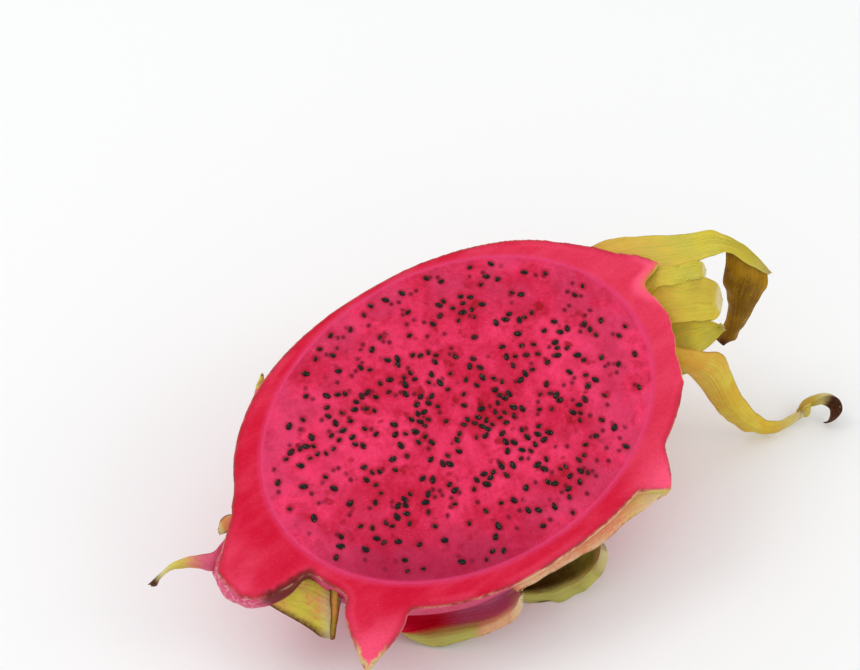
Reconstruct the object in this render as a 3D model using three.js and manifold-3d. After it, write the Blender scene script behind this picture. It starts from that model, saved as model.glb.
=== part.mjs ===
// Half of a red-fleshed dragon fruit, cut lengthwise, lying on its belly with the cut face up.
// Millimetres, +Z up. Every piece is drawn in the fruit's own axes: x runs from the stem to the
// crown, y across the cut face towards the back, z out of the cut face. The last group tilts them.

import * as THREE from 'three';
import { mergeVertices } from 'three/addons/utils/BufferGeometryUtils.js';
import Module from 'manifold-3d';

const wasm = await Module();
wasm.setup();

// Driving dimensions, in millimetres and degrees.
const FACE_TILT = 21;            // the cut face leans towards the front
const CROWN_RISE = 8;            // the crown end is propped up
const FACE_HEIGHT = 41.6;        // from the table to the middle of the cut face
const GAP = 0.3;                 // clearance between neighbouring pieces

const FLESH = { x: 1.5, y: 0.3, long: 54, wide: 39.2, deep: 38, dome: 1.2 };
const SKIN = { wide: 43.4, deep: 42, stem: 59.5, stemFront: 54.5, crown: 64, roundness: 2.2 };
const RIM_DROP = 1.3;            // the skin's cut edge bends down by this much
const RIM_REACH = 0.1;           // over this share of the face's radius

// Each round end has a place in the face and the direction that its axis turns to from +x.
const CROWN = { x: 64, y: -1.5, turn: -20.5, radius: 16.5, collar: 17 };
const STEM = { x: -46, y: 3, turn: 203 };
const STEM_KNOB = { centre: [-60, -3, -5.5], size: [12.5, 10.5, 9.5] };

const SEED = { count: 230, long: 1.15, wide: 0.75, high: 0.75, apart: 2.7, start: 4177 };

const COLOURS = {
  peel: { color: 0xc81f55, roughness: 0.5 },
  flesh: { color: 0xd81a63, roughness: 0.25 },
  crown: { color: 0xb9b03c, roughness: 0.6 },
};

const radians = THREE.MathUtils.degToRad;
const point = (p) => new THREE.Vector3(...p);

// A closed body from rings of equal length. A ring of one point is a pole. Two open ends that
// are flat strips are closed edge to edge, because their upper and lower halves run side by side.
function ringBody(rings) {
  const position = rings.flat().flatMap((p) => p.toArray());
  const index = [];
  const starts = [];
  let total = 0;
  for (const ring of rings) {
    starts.push(total);
    total += ring.length;
  }
  for (let k = 0; k + 1 < rings.length; k += 1) {
    const [near, far] = [rings[k], rings[k + 1]];
    const sides = Math.max(near.length, far.length);
    for (let i = 0; i < sides; i += 1) {
      const j = (i + 1) % sides;
      const a = starts[k] + (near.length === 1 ? 0 : i);
      const b = starts[k] + (near.length === 1 ? 0 : j);
      const c = starts[k + 1] + (far.length === 1 ? 0 : i);
      const d = starts[k + 1] + (far.length === 1 ? 0 : j);
      if (near.length > 1) index.push(a, b, d);
      if (far.length > 1) index.push(a, d, c);
    }
  }
  closeStrip(index, starts[0], rings[0].length, false);
  closeStrip(index, starts.at(-1), rings.at(-1).length, true);
  const geometry = new THREE.BufferGeometry();
  geometry.setAttribute('position', new THREE.Float32BufferAttribute(position, 3));
  geometry.setIndex(index);
  return faceOutwards(geometry);
}

// Joins the first half of a ring to its second half, which runs back along it.
function closeStrip(index, start, sides, last) {
  for (let i = 0; i + 1 < sides / 2; i += 1) {
    const [a, b] = [start + i, start + i + 1];
    const [c, d] = [start + sides - 2 - i, start + sides - 1 - i];
    const faces = last ? [[a, b, c], [a, c, d]] : [[a, c, b], [a, d, c]];
    for (const face of faces) if (new Set(face).size === 3) index.push(...face);
  }
}

// Turns every triangle over if the body's signed volume is negative.
function faceOutwards(geometry) {
  const { position } = geometry.attributes;
  const corner = (i) => new THREE.Vector3().fromBufferAttribute(position, geometry.index.getX(i));
  let volume = 0;
  for (let i = 0; i < geometry.index.count; i += 3) {
    volume += corner(i).dot(corner(i + 1).cross(corner(i + 2)));
  }
  if (volume < 0) {
    geometry.setIndex(Array.from(geometry.index.array).reverse());
  }
  return geometry;
}

function solid(geometry) {
  const bare = geometry.clone();
  bare.deleteAttribute('normal');
  bare.deleteAttribute('uv');
  const merged = mergeVertices(bare);
  return new wasm.Manifold(new wasm.Mesh({
    numProp: 3,
    vertProperties: Float32Array.from(merged.attributes.position.array),
    triVerts: Uint32Array.from(merged.index.array),
  }));
}

// Joins closed geometries into one solid.
function joined(geometries) {
  return geometries.map(solid).reduce((all, next) => all.add(next));
}

// A mesh of the solid's largest piece, so that a scrap left by a cut is dropped.
function mesh(name, body) {
  const pieces = body.decompose();
  const largest = pieces.reduce((a, b) => (a.volume() > b.volume() ? a : b));
  const { vertProperties, triVerts } = largest.getMesh();
  const geometry = new THREE.BufferGeometry();
  geometry.setAttribute('position', new THREE.BufferAttribute(vertProperties, 3));
  geometry.setIndex(new THREE.BufferAttribute(triVerts, 1));
  const result = new THREE.Mesh(geometry, new THREE.MeshStandardMaterial(COLOURS[name]));
  result.name = name;
  return result;
}

// How far a rounded oblong reaches sideways at the length x, with its ends at -stem and crown.
function halfWidth(x, wide, stem, crown) {
  const share = Math.min(1, Math.abs(x) / (x < 0 ? stem : crown));
  return wide * (1 - share ** SKIN.roundness) ** (1 / SKIN.roundness);
}

// The skin's outside at the length x and the angle round it: 0 is the front, 90 the belly and
// 180 the back. It is a little shorter at the front of the stem end than at the back.
function skinPoint(x, degrees) {
  const angle = radians(degrees);
  const back = halfWidth(x, SKIN.wide, SKIN.stem, SKIN.crown);
  const front = Math.max(halfWidth(x, SKIN.wide, SKIN.stemFront, SKIN.crown), 0.35 * back);
  const deep = halfWidth(x, SKIN.deep, SKIN.stem - 2, SKIN.crown);
  const sideways = Math.cos(angle) > 0 ? front : back;
  return new THREE.Vector3(x, -sideways * Math.cos(angle), -deep * Math.sin(angle));
}

function skinNormal(x, degrees) {
  const along = skinPoint(x + 0.5, degrees).sub(skinPoint(x - 0.5, degrees));
  const around = skinPoint(x, degrees + 1).sub(skinPoint(x, degrees - 1));
  return around.cross(along).normalize();
}

function skinBody() {
  const stations = 24;
  const sides = 40;
  const rings = [[new THREE.Vector3(-SKIN.stem + 2, 5, 0)]];
  for (let k = 1; k < stations; k += 1) {
    const swing = -Math.cos((Math.PI * k) / stations);
    const x = swing * (swing < 0 ? SKIN.stem - 2 : SKIN.crown);
    rings.push(Array.from({ length: sides }, (_, i) => skinPoint(x, (i * 360) / sides)));
  }
  rings.push([new THREE.Vector3(SKIN.crown, 0, 0)]);
  return ringBody(rings);
}

// A round body along the axis of an end, from [distance, radius] pairs counted from its place.
function roundEnd({ x, y, turn }, profile) {
  const outline = profile.map(([distance, radius]) => new THREE.Vector2(radius, distance));
  const geometry = new THREE.LatheGeometry(outline, 28);
  geometry.rotateZ(radians(turn - 90));
  geometry.translate(x, y, 0);
  return faceOutwards(mergeVertices(geometry));
}

function stemKnob() {
  const geometry = new THREE.SphereGeometry(1, 20, 14);
  geometry.scale(...STEM_KNOB.size);
  geometry.translate(...STEM_KNOB.centre);
  return geometry;
}

// A rounded bowl below the cut face: the pulp, or with more room the hollow that holds it. Its
// upper side is a dome that meets the bowl at the edge of the face.
function pulpBody(room, dome) {
  const sides = 40;
  const turn = (i) => (i * 2 * Math.PI) / sides;
  const around = (share, height) => Array.from({ length: sides }, (_, i) => new THREE.Vector3(
    FLESH.x + (FLESH.long + room) * share * Math.cos(turn(i)),
    FLESH.y + (FLESH.wide + room) * share * Math.sin(turn(i)),
    height,
  ));
  const rings = [[new THREE.Vector3(FLESH.x, FLESH.y, dome)]];
  for (const share of [0.4, 0.75, 0.95]) rings.push(around(share, dome * (1 - share ** 2)));
  for (const degrees of [0, 7, 15, 24, 33, 42, 51, 60, 69, 78]) {
    const angle = radians(degrees);
    rings.push(around(Math.cos(angle), -(FLESH.deep + room) * Math.sin(angle)));
  }
  rings.push([new THREE.Vector3(FLESH.x, FLESH.y, -FLESH.deep - room)]);
  return ringBody(rings);
}

// Everything under the knife: level over the pulp, and bent down over the skin's cut edge.
function underKnife() {
  const sides = 48;
  const depth = 90;
  const around = (share, height) => Array.from({ length: sides }, (_, i) => new THREE.Vector3(
    FLESH.x + FLESH.long * share * Math.cos((i * 2 * Math.PI) / sides),
    FLESH.y + FLESH.wide * share * Math.sin((i * 2 * Math.PI) / sides),
    height,
  ));
  const rings = [[new THREE.Vector3(FLESH.x, FLESH.y, 0)]];
  for (const share of [1, 1.04, 1.1, 1.2, 1.4, 3]) {
    rings.push(around(share, -RIM_DROP * (1 - Math.exp((1 - share) / RIM_REACH))));
  }
  rings.push(around(3, -depth), [new THREE.Vector3(FLESH.x, FLESH.y, -depth)]);
  return ringBody(rings);
}

// A leaf or flap between two edges, each a smooth curve through a few points. thick gives its
// thickness at the near edge, the middle and the far edge, and cup how far the middle stands up.
function blade({ near, far, thick, cup = 0, steps = 10, across = 4 }) {
  const nearEdge = new THREE.CatmullRomCurve3(near.map(point));
  const farEdge = new THREE.CatmullRomCurve3(far.map(point));
  const rings = [];
  for (let k = 0; k <= steps; k += 1) {
    const t = k / steps;
    const [start, end] = [nearEdge.getPoint(t), farEdge.getPoint(t)];
    const along = nearEdge.getTangent(t).add(farEdge.getTangent(t));
    const up = end.clone().sub(start).cross(along).normalize();
    const upper = [];
    const lower = [];
    for (let i = 0; i <= across; i += 1) {
      const share = i / across;
      const middle = 4 * share * (1 - share);
      const half = 0.5 * (thick[0] * (1 - share) * (1 - 2 * share) + thick[1] * middle
        + thick[2] * share * (2 * share - 1));
      const centre = start.clone().lerp(end, share).addScaledVector(up, cup * middle);
      upper.push(centre.clone().addScaledVector(up, half));
      lower.unshift(centre.clone().addScaledVector(up, -half));
    }
    rings.push([...upper, ...lower]);
  }
  return ringBody(rings);
}

// A scale that grows out of the skin towards the crown: a broad sunk root, a lifted pointed tip.
function scale({ x, around, length, width, lift, lean = 0 }) {
  const stations = 5;
  const sunk = 2.5;
  const near = [];
  const far = [];
  for (let k = 0; k <= stations; k += 1) {
    const s = k / stations;
    const [at, angle] = [x + length * s, around + lean * s];
    const up = skinNormal(at, angle);
    const side = skinPoint(at, angle + 1).sub(skinPoint(at, angle - 1)).normalize();
    const centre = skinPoint(at, angle).addScaledVector(up, -sunk + (lift + sunk) * s ** 1.4);
    const half = Math.max(0.6, 0.5 * width * (1 - s ** 1.7) ** 0.8);
    near.push(centre.clone().addScaledVector(side, -half).toArray());
    far.push(centre.clone().addScaledVector(side, half).toArray());
  }
  return blade({ near, far, thick: [0.9, 2.6, 0.9], steps: 8 });
}

// The scales that the knife went through, whose cut flesh makes the points on the rim.
const CUT_POINTS = [
  {
    near: [[-42, -26, 4], [-42, -26, -7], [-38, -24, -17]],
    far: [[-56, -41, 4], [-54.5, -39, -7], [-46, -31, -18]],
    thick: [24, 12.5, 1.2],
  },
  {
    near: [[25, -30, 4], [25, -30, -6], [24, -28, -17]],
    far: [[36, -45, 4], [33.5, -44.5, -6], [28, -40, -17]],
    thick: [22, 10, 1],
  },
];

// Flaps that spread from under the front edge. Their far edges are the free ones.
const FLAPS = [
  {
    near: [[-33, -25, -25], [-25, -33, -18], [-14, -40, -7]],
    far: [[-35.5, -39, -26.5], [-26, -44.6, -17], [-17, -47, -7.5]],
    thick: [4, 2, 1],
    cup: -1.5,
  },
  {
    near: [[-7, -32, -26], [2, -36, -22], [13, -38, -10]],
    far: [[-6, -43.5, -27], [3.5, -49, -26.5], [11.5, -49.5, -14], [12.5, -46.5, -6]],
    thick: [4, 2, 1],
    cup: -3,
  },
  {
    near: [[-60, -5, -7], [-52, -9, -7], [-45, -14, -7]],
    far: [[-62.5, -12, -7], [-59, -20, -8], [-51.5, -27, -8]],
    thick: [4, 2.2, 1.2],
    cup: 0.8,
  },
];

// Thin dry scales at the stem end: a long curled one and a stub.
const DRY_TIPS = [
  {
    near: [[-66, 1, -6], [-73, 4.5, -5], [-79.5, 7, -4.2], [-85, 7, -3.6]],
    far: [[-66, 6.5, -6], [-74, 7.5, -4.4], [-79.6, 8.3, -3.6], [-84.8, 7.8, -3]],
    thick: [0.8, 1.2, 0.8],
  },
  {
    near: [[-58, 6, -4], [-63, 7.5, -4], [-67, 8.5, -4]],
    far: [[-56, 10, -4], [-61, 11.5, -4], [-65.5, 11, -4]],
    thick: [1, 1.8, 1],
  },
];

// Whole scales on the skin. The first one lies under the belly and props the fruit up.
const SCALES = [
  { x: -12, around: 91, length: 25, width: 20, lift: 5.5 },
  { x: -42, around: 116, length: 22, width: 17, lift: 6 },
  { x: 14, around: 122, length: 25, width: 20, lift: 8 },
  { x: -14, around: 148, length: 26, width: 19, lift: 8 },
  { x: 28, around: 158, length: 24, width: 17, lift: 7 },
  { x: 27, around: 66, length: 24, width: 18, lift: 7 },
  { x: -45, around: 166, length: 15, width: 13, lift: 4.5 },
  { x: 50, around: 169, length: 16, width: 10, lift: 4.5 },
];

// The crown's leaves: a long strap that folds down, three short ones, one that trails to the
// table, and three under the collar.
const LEAVES = [
  {
    near: [[62, 4, -4], [68.4, 6.2, -3], [80.7, 2.2, -3], [90, 1.2, -6], [90.2, -2.4, -17],
      [90.5, -5.7, -23], [86.4, -12.1, -33]],
    far: [[62, 14, -4], [72.2, 14.1, -3], [85.9, 9.9, -3], [95.8, -2.9, -4], [98.2, -10.5, -12],
      [93.9, -13.5, -24], [86.6, -13.4, -33]],
    thick: [0.7, 1.3, 0.7],
    cup: 0.8,
    steps: 22,
  },
  {
    near: [[60, 3, -7], [66, 2.8, -4], [72.1, -0.3, -3], [79.1, -2.3, -3]],
    far: [[60, 8, -7], [68.5, 6.8, -4], [74.6, 4.1, -3], [81, 1.3, -3]],
    thick: [0.8, 1.8, 0.8],
    cup: 0.8,
  },
  {
    near: [[58, -8, -8], [65.1, -8.2, -3.5], [70, -11.6, -3], [77.6, -12.5, -4]],
    far: [[60, 3, -8], [65.7, 2.4, -3.5], [74, -1, -2], [80.9, -6.5, -3]],
    thick: [0.8, 2.2, 0.8],
    cup: 2.2,
  },
  {
    near: [[56, -14, -11], [61.9, -15.8, -9], [67.5, -17.3, -8.5], [76, -16.8, -8]],
    far: [[60, -6, -10], [66.2, -8, -7], [71.7, -11, -6], [76.3, -15.6, -7]],
    thick: [0.8, 2, 0.8],
    cup: 1.4,
  },
  {
    near: [[58, -12, -8], [62.7, -15.4, -11], [68.1, -23.9, -23.5], [73.1, -30.5, -34.5],
      [79.5, -37.5, -41.6], [87, -41.7, -42], [96, -42, -42.2], [102, -42.5, -40.5]],
    far: [[66, -10, -6], [71.5, -20.1, -8], [75.1, -27.7, -19.1], [78.6, -34.1, -29],
      [84.6, -38.6, -37.5], [92, -40, -41.6], [98, -40, -42], [103.4, -41.6, -39.6]],
    thick: [0.8, 1.5, 0.8],
    cup: -1.2,
    steps: 22,
  },
  {
    near: [[58, 2, -15], [68, 4, -17], [78, 4, -20], [86, 1, -24]],
    far: [[60, 12, -12], [72, 13, -13], [82, 11, -16], [87, 3.5, -23]],
    thick: [0.8, 1.8, 0.8],
    cup: -1.5,
  },
  {
    near: [[56, -8, -15], [66, -10, -18], [75, -11, -22], [81, -9, -27]],
    far: [[58, 2, -15], [70, 1, -18], [78, -1, -22], [82, -6.5, -27]],
    thick: [0.8, 1.8, 0.8],
    cup: -1.5,
  },
  {
    near: [[54, -15, -9], [62, -19, -12], [70, -21, -16], [77, -19, -21]],
    far: [[56, -8, -14], [66, -10, -16], [74, -13, -19], [78, -17, -22]],
    thick: [0.8, 1.8, 0.8],
    cup: -1,
  },
];

// The park and miller generator: numbers between 0 and 1, always the same ones.
function randomNumbers(start) {
  let state = start;
  return () => {
    state = (state * 16807) % 2147483647;
    return state / 2147483647;
  };
}

// Places for the seeds: a shower of points over the face, thinner towards its edge, in which
// none may lie close to an earlier one.
function seedPlaces() {
  const random = randomNumbers(SEED.start);
  const places = [];
  while (places.length < SEED.count) {
    const share = 0.95 * Math.sqrt(random());
    const angle = 2 * Math.PI * random();
    const kept = random() > 0.55 * share ** 2;
    const turn = Math.PI * random();
    const x = FLESH.x + FLESH.long * share * Math.cos(angle);
    const y = FLESH.y + FLESH.wide * share * Math.sin(angle);
    const free = places.every((other) => Math.hypot(x - other.x, y - other.y) > SEED.apart);
    if (kept && free) places.push({ x, y, z: FLESH.dome * (1 - share ** 2), turn });
  }
  return places;
}

function seed({ x, y, z, turn }) {
  const geometry = new THREE.SphereGeometry(1, 6, 2);
  geometry.rotateX(Math.PI / 2);
  geometry.scale(SEED.long, SEED.wide, SEED.high);
  geometry.rotateZ(turn);
  geometry.translate(x, y, z - 0.15);
  return solid(geometry);
}

// A large block on one side of a plane, which is square to the block's own z axis.
function blockBelow(place) {
  const [across, thick] = [500, 200];
  const geometry = new THREE.BoxGeometry(across, across, thick);
  geometry.translate(0, 0, -thick / 2);
  geometry.applyMatrix4(place);
  return solid(geometry);
}

const tilt = new THREE.Euler(radians(FACE_TILT), radians(-CROWN_RISE), 0, 'YXZ');
const tiltBack = new THREE.Matrix4().makeRotationFromEuler(tilt).invert();
const table = blockBelow(tiltBack.multiply(new THREE.Matrix4().makeTranslation(0, 0, -FACE_HEIGHT)));

// The crown's ring lies square to its axis, which is level and turned towards the front.
const ringTurn = new THREE.Matrix4().makeRotationZ(radians(CROWN.turn));
const ringPlace = new THREE.Matrix4().makeTranslation(CROWN.x, CROWN.y, 0).multiply(ringTurn)
  .multiply(new THREE.Matrix4().makeRotationY(Math.PI / 2));
const skinSide = blockBelow(ringPlace);
const leafSide = blockBelow(ringPlace.clone()
  .multiply(new THREE.Matrix4().makeTranslation(0, 0, GAP))
  .multiply(new THREE.Matrix4().makeRotationX(Math.PI)));

function makePeel() {
  const { radius } = CROWN;
  const crownNeck = roundEnd(CROWN, [[-22, 0], [-22, 13], [-9, radius], [4, radius], [4, 0]]);
  const stemNeck = roundEnd(STEM, [[-4, 0], [-4, 17], [4, 16], [12, 11.5], [18, 9], [18, 0]]);
  const grown = [...CUT_POINTS, ...FLAPS, ...DRY_TIPS].map(blade).concat(SCALES.map(scale));
  return joined([skinBody(), crownNeck, stemNeck, stemKnob(), ...grown])
    .intersect(skinSide)
    .intersect(solid(underKnife()))
    .subtract(solid(pulpBody(GAP, 8)))
    .subtract(table);
}

function makeFlesh() {
  const seeds = wasm.Manifold.union(seedPlaces().map(seed));
  return solid(pulpBody(0, FLESH.dome)).add(seeds);
}

function makeCrown() {
  const { radius, collar } = CROWN;
  const core = roundEnd(CROWN, [[-2, 0], [-2, radius], [4, radius - 2.5], [10, radius - 7],
    [collar, 0]]);
  const lid = blockBelow(new THREE.Matrix4().makeTranslation(0, 0, -4));
  return solid(core).intersect(lid).add(joined(LEAVES.map(blade)))
    .intersect(leafSide)
    .subtract(table);
}

const fruit = new THREE.Group();
fruit.rotation.copy(tilt);
fruit.add(mesh('peel', makePeel()), mesh('flesh', makeFlesh()), mesh('crown', makeCrown()));

// The fruit stands on the plane z = 0, with the middle of its box over the origin.
const dragonFruitHalf = new THREE.Group();
dragonFruitHalf.add(fruit);
dragonFruitHalf.updateMatrixWorld(true);
const box = new THREE.Box3().setFromObject(dragonFruitHalf, true);
const middle = box.getCenter(new THREE.Vector3());
fruit.position.set(-middle.x, -middle.y, -box.min.z);
dragonFruitHalf.updateMatrixWorld(true);

export default dragonFruitHalf;
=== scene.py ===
"""A cut dragon fruit half: scaly peel, seeded pulp and withered crown, on a pale table."""

import math

import bpy
import numpy as np
from mathutils import Matrix, Vector


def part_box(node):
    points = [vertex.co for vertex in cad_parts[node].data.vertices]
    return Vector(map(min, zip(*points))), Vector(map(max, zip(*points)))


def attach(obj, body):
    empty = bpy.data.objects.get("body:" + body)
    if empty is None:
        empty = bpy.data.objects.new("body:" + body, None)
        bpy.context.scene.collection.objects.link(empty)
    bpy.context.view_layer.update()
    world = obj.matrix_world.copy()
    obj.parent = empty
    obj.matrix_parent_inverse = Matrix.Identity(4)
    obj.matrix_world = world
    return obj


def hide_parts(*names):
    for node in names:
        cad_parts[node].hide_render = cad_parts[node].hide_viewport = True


bl_info = {
    "name": "Dragon Fruit Half",
    "version": (1, 0, 0),
    "blender": (4, 5, 0),
    "location": "View3D > Sidebar > Dragon Fruit",
    "description": "Dresses a cut dragon fruit half: peel, pulp, seeds, crown leaves and stage",
    "category": "Add Mesh",
}

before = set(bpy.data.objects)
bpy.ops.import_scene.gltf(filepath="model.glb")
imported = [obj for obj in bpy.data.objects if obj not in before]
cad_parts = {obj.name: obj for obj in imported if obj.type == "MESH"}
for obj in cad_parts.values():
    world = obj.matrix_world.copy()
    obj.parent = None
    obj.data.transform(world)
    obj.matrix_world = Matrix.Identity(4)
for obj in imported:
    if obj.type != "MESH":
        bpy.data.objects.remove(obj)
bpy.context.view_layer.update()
MM = 0.001
TABLE_GAP = 0.00004                  # metres between the table and the lowest points
TABLE_HALF = 1.6
LIGHT_AIM = (0, 0, 0.03)
PEEL_CREASE = math.radians(50)
LEAF_CREASE = math.radians(60)

# Shapes below are in millimetres in the fruit's own axes: x from the stem to the crown, y across
# the cut face to the back, z out of the cut face. place() turns them into the frame's metres.
ROUNDNESS = 2.2
STEM_SHORTER = 2.0                   # the skin ends this much before its widest outline
STEM_FRONT = 54.5                    # its front half is shorter at the stem end
BACK_SLIMMER = 0.968                 # the rim at the back is this share of the skin's width
CROWN_SLIMMER = 0.036                # and in front it is this much slimmer near the crown
PULP_MIDDLE = (1.5, 0.3)             # the middle of the solid pulp
FACE_MIDDLE = (1.5, 0.8)             # the middle of the face that shows
RIM_DROP = 1.3                       # how far the rind sinks below the pulp's edge
RIM_REACH = 0.1                      # and how soon, as a share of the face's radius
FAR_BELOW = 90.0                     # deeper than any part of the fruit
PULP_OVERLAP = 0.05                  # how far the pulp reaches into the rind
FACE_CELLS = (280, 206)              # of the pulp's face, along it and across
SEED_REACH = 0.95                    # the seeds keep within this share of the face
SEED_THICK = 0.5
CLUMP_REACH = 1.5                    # from a seed to its clump's next one, in the middle
CLUMP_GAP = 0.54                     # the seed spacing in clumps, as a share
FAR_OFF = 9.0                        # stands for a place with no seed near it
SCALE_ROOT = 2.5                     # how deep a scale starts in the skin
SCALE_STEPS = 9
JOINT_ROUNDS = 26                    # of relaxing the skin where blades and ends meet it
FACE_ROUNDS = 3                      # and all over, for an even cut face
CROWN = {"x": 64.0, "y": -1.5, "turn": -20.5, "radius": 16.5}
STEM = {"x": -46.0, "y": 3.0, "turn": 203.0}
KNOB_CENTRE = (-60.0, -3.0, -5.5)
KNOB_SIZE = (12.5, 10.5, 9.5)

# Blades are surfaces between a near and a far edge. thick is at the near edge, the middle and
# the far edge, and cup is how far the middle stands up.
CUT_POINTS = [
    {"near": [(-42, -26, 4), (-42, -26, -7), (-38, -24, -17)],
     "far": [(-56, -41, 4), (-54.5, -39, -7), (-46, -31, -18)], "thick": (24, 12.5, 1.4)},
    {"near": [(25, -30, 4), (25, -30, -6), (24, -28, -17)],
     "far": [(36, -45, 4), (33.5, -44.5, -6), (28, -40, -17)], "thick": (22, 10, 1.4)},
    {"near": [(33, -30, 4), (33, -30, -6), (30, -28, -15)],
     "far": [(36.2, -43.6, 4), (34, -43, -6), (29, -38, -15)], "thick": (14.5, 11, 1.6)},
]
FLAPS = [
    {"near": [(-39, -27, -20), (-31, -28, -20), (-25, -33, -17), (-20, -37, -12), (-15, -38, -7),
              (-12, -40, -4.5)],
     "far": [(-37.5, -37.6, -25.4), (-31.2, -41.5, -23.6), (-25.4, -44.6, -19), (-20.6, -47, -14),
             (-15.2, -47.9, -9.6), (-11.8, -45, -5)],
     "thick": (2.5, 1.5, 1.6), "gutter": (6.5, 0.78), "blunt": (0.18, 0),
     "frill": 0.6, "pit": 1.0, "pit_pink": 1.0},
    {"near": [(-10, -30, -25.4), (-4, -34, -24.2), (1, -37, -21.4), (6, -39, -18), (10, -39.5, -12),
              (13, -40, -7)],
     "far": [(-8, -42.6, -27), (-2.2, -46.6, -27.6), (3.4, -49, -26.2), (8.4, -50.2, -21),
             (11.8, -49.8, -14.6), (12.8, -46.4, -6.4)],
     "thick": (2.5, 1.5, 1.4), "gutter": (4.2, 0.75), "blunt": (0.1, 0),
     "frill": 0.5, "pit": 1.0},
    {"near": [(-64.5, -6.5, -6.5), (-60, -5.5, -5.5), (-55.5, -6.5, -5), (-51, -9, -5),
              (-48, -12.5, -5.5), (-46.5, -18, -6.5)],
     "far": [(-65, -11, -7), (-63, -14.8, -8), (-60.8, -19, -8.5), (-59, -22.8, -9),
             (-57.8, -25.6, -9.5), (-55.5, -27.4, -9.6)],
     "thick": (2.4, 1.6, 1.2), "cup": 0.8, "tone": 0.1, "frill": 0.4, "browned": 1.0},
    {"near": [(-47.4, -15.5, -4.2), (-49.5, -19.5, -4.6), (-52.2, -23.8, -6.4), (-55.4, -27.6, -9)],
     "far": [(-49.8, -14.5, -3.4), (-51.2, -18.8, -3.6), (-53.8, -23, -6), (-56.4, -27, -9.2)],
     "thick": (0.9, 1.4, 0.8), "cup": 0.9, "tone": 0.8, "frill": 0.3, "dry": 1.1, "browned": 1.0},
    {"near": [(-13, -38, -7), (-6, -38.5, -7), (3, -39, -7), (12, -39, -7), (20, -38, -6.5),
              (27, -37, -6), (33, -38, -5)],
     "far": [(-12.5, -43.4, -5.4), (-6.5, -43.8, -5.5), (3.4, -44.7, -5.5), (11.5, -45.4, -5.5),
             (20.6, -44.3, -5), (28, -44.3, -4.8), (34.7, -43.7, -3.4)],
     "thick": (3, 2.6, 1.2), "cup": 0.6, "frill": 0.4, "ledge": 1.0},
]
DRY_TIPS = [
    {"near": [(-64, 3, -7), (-71.2, 2.3, -6.6), (-73.8, 4.4, -5.4), (-76.7, 6, -4.8),
              (-79.9, 7.1, -4.2), (-82.4, 7.0, -4.6), (-84.4, 6.2, -5.6), (-85.6, 6.6, -4.8)],
     "far": [(-62, 8, -5), (-68.8, 5.2, -3.2), (-72.3, 6.4, -2.8), (-75.5, 7.7, -3.2),
             (-79.3, 8.2, -3.4), (-82.0, 8.0, -3.9), (-84.9, 7.6, -4.8), (-86.0, 7.2, -4.2)],
     "thick": (0.5, 1.3, 0.5), "cup": 0.8, "frill": 0.3, "dry": 0.72, "blush": 1.0},
    {"near": [(-57, 9, -4), (-60.6, 11.2, -3.4), (-62.8, 11.2, -3.6), (-64.9, 9.6, -4.2)],
     "far": [(-58, 5, -4), (-61, 8.4, -3.6), (-63.2, 7.8, -4.2), (-65.2, 8.4, -4.8)],
     "thick": (0.6, 1.6, 0.6), "frill": 0.5, "browned": 1.0, "ledge": 0.6},
]
SCALES = [
    {"x": -12, "around": 91, "length": 25, "width": 20, "lift": 5.5},
    {"x": -42, "around": 116, "length": 22, "width": 17, "lift": 6},
    {"x": 14, "around": 122, "length": 25, "width": 20, "lift": 8},
    {"x": -14, "around": 148, "length": 26, "width": 19, "lift": 8},
    {"x": 28, "around": 158, "length": 24, "width": 17, "lift": 7},
    {"x": 27, "around": 66, "length": 24, "width": 18, "lift": 7},
    {"x": -45, "around": 166, "length": 15, "width": 13, "lift": 4.5},
    {"x": 50, "around": 169, "length": 16, "width": 10, "lift": 4.5},
]
UNDER_LEAF = {"thick": (1.2, 2.4, 0.7), "frill": 0.5, "dry": 0.86}
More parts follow.
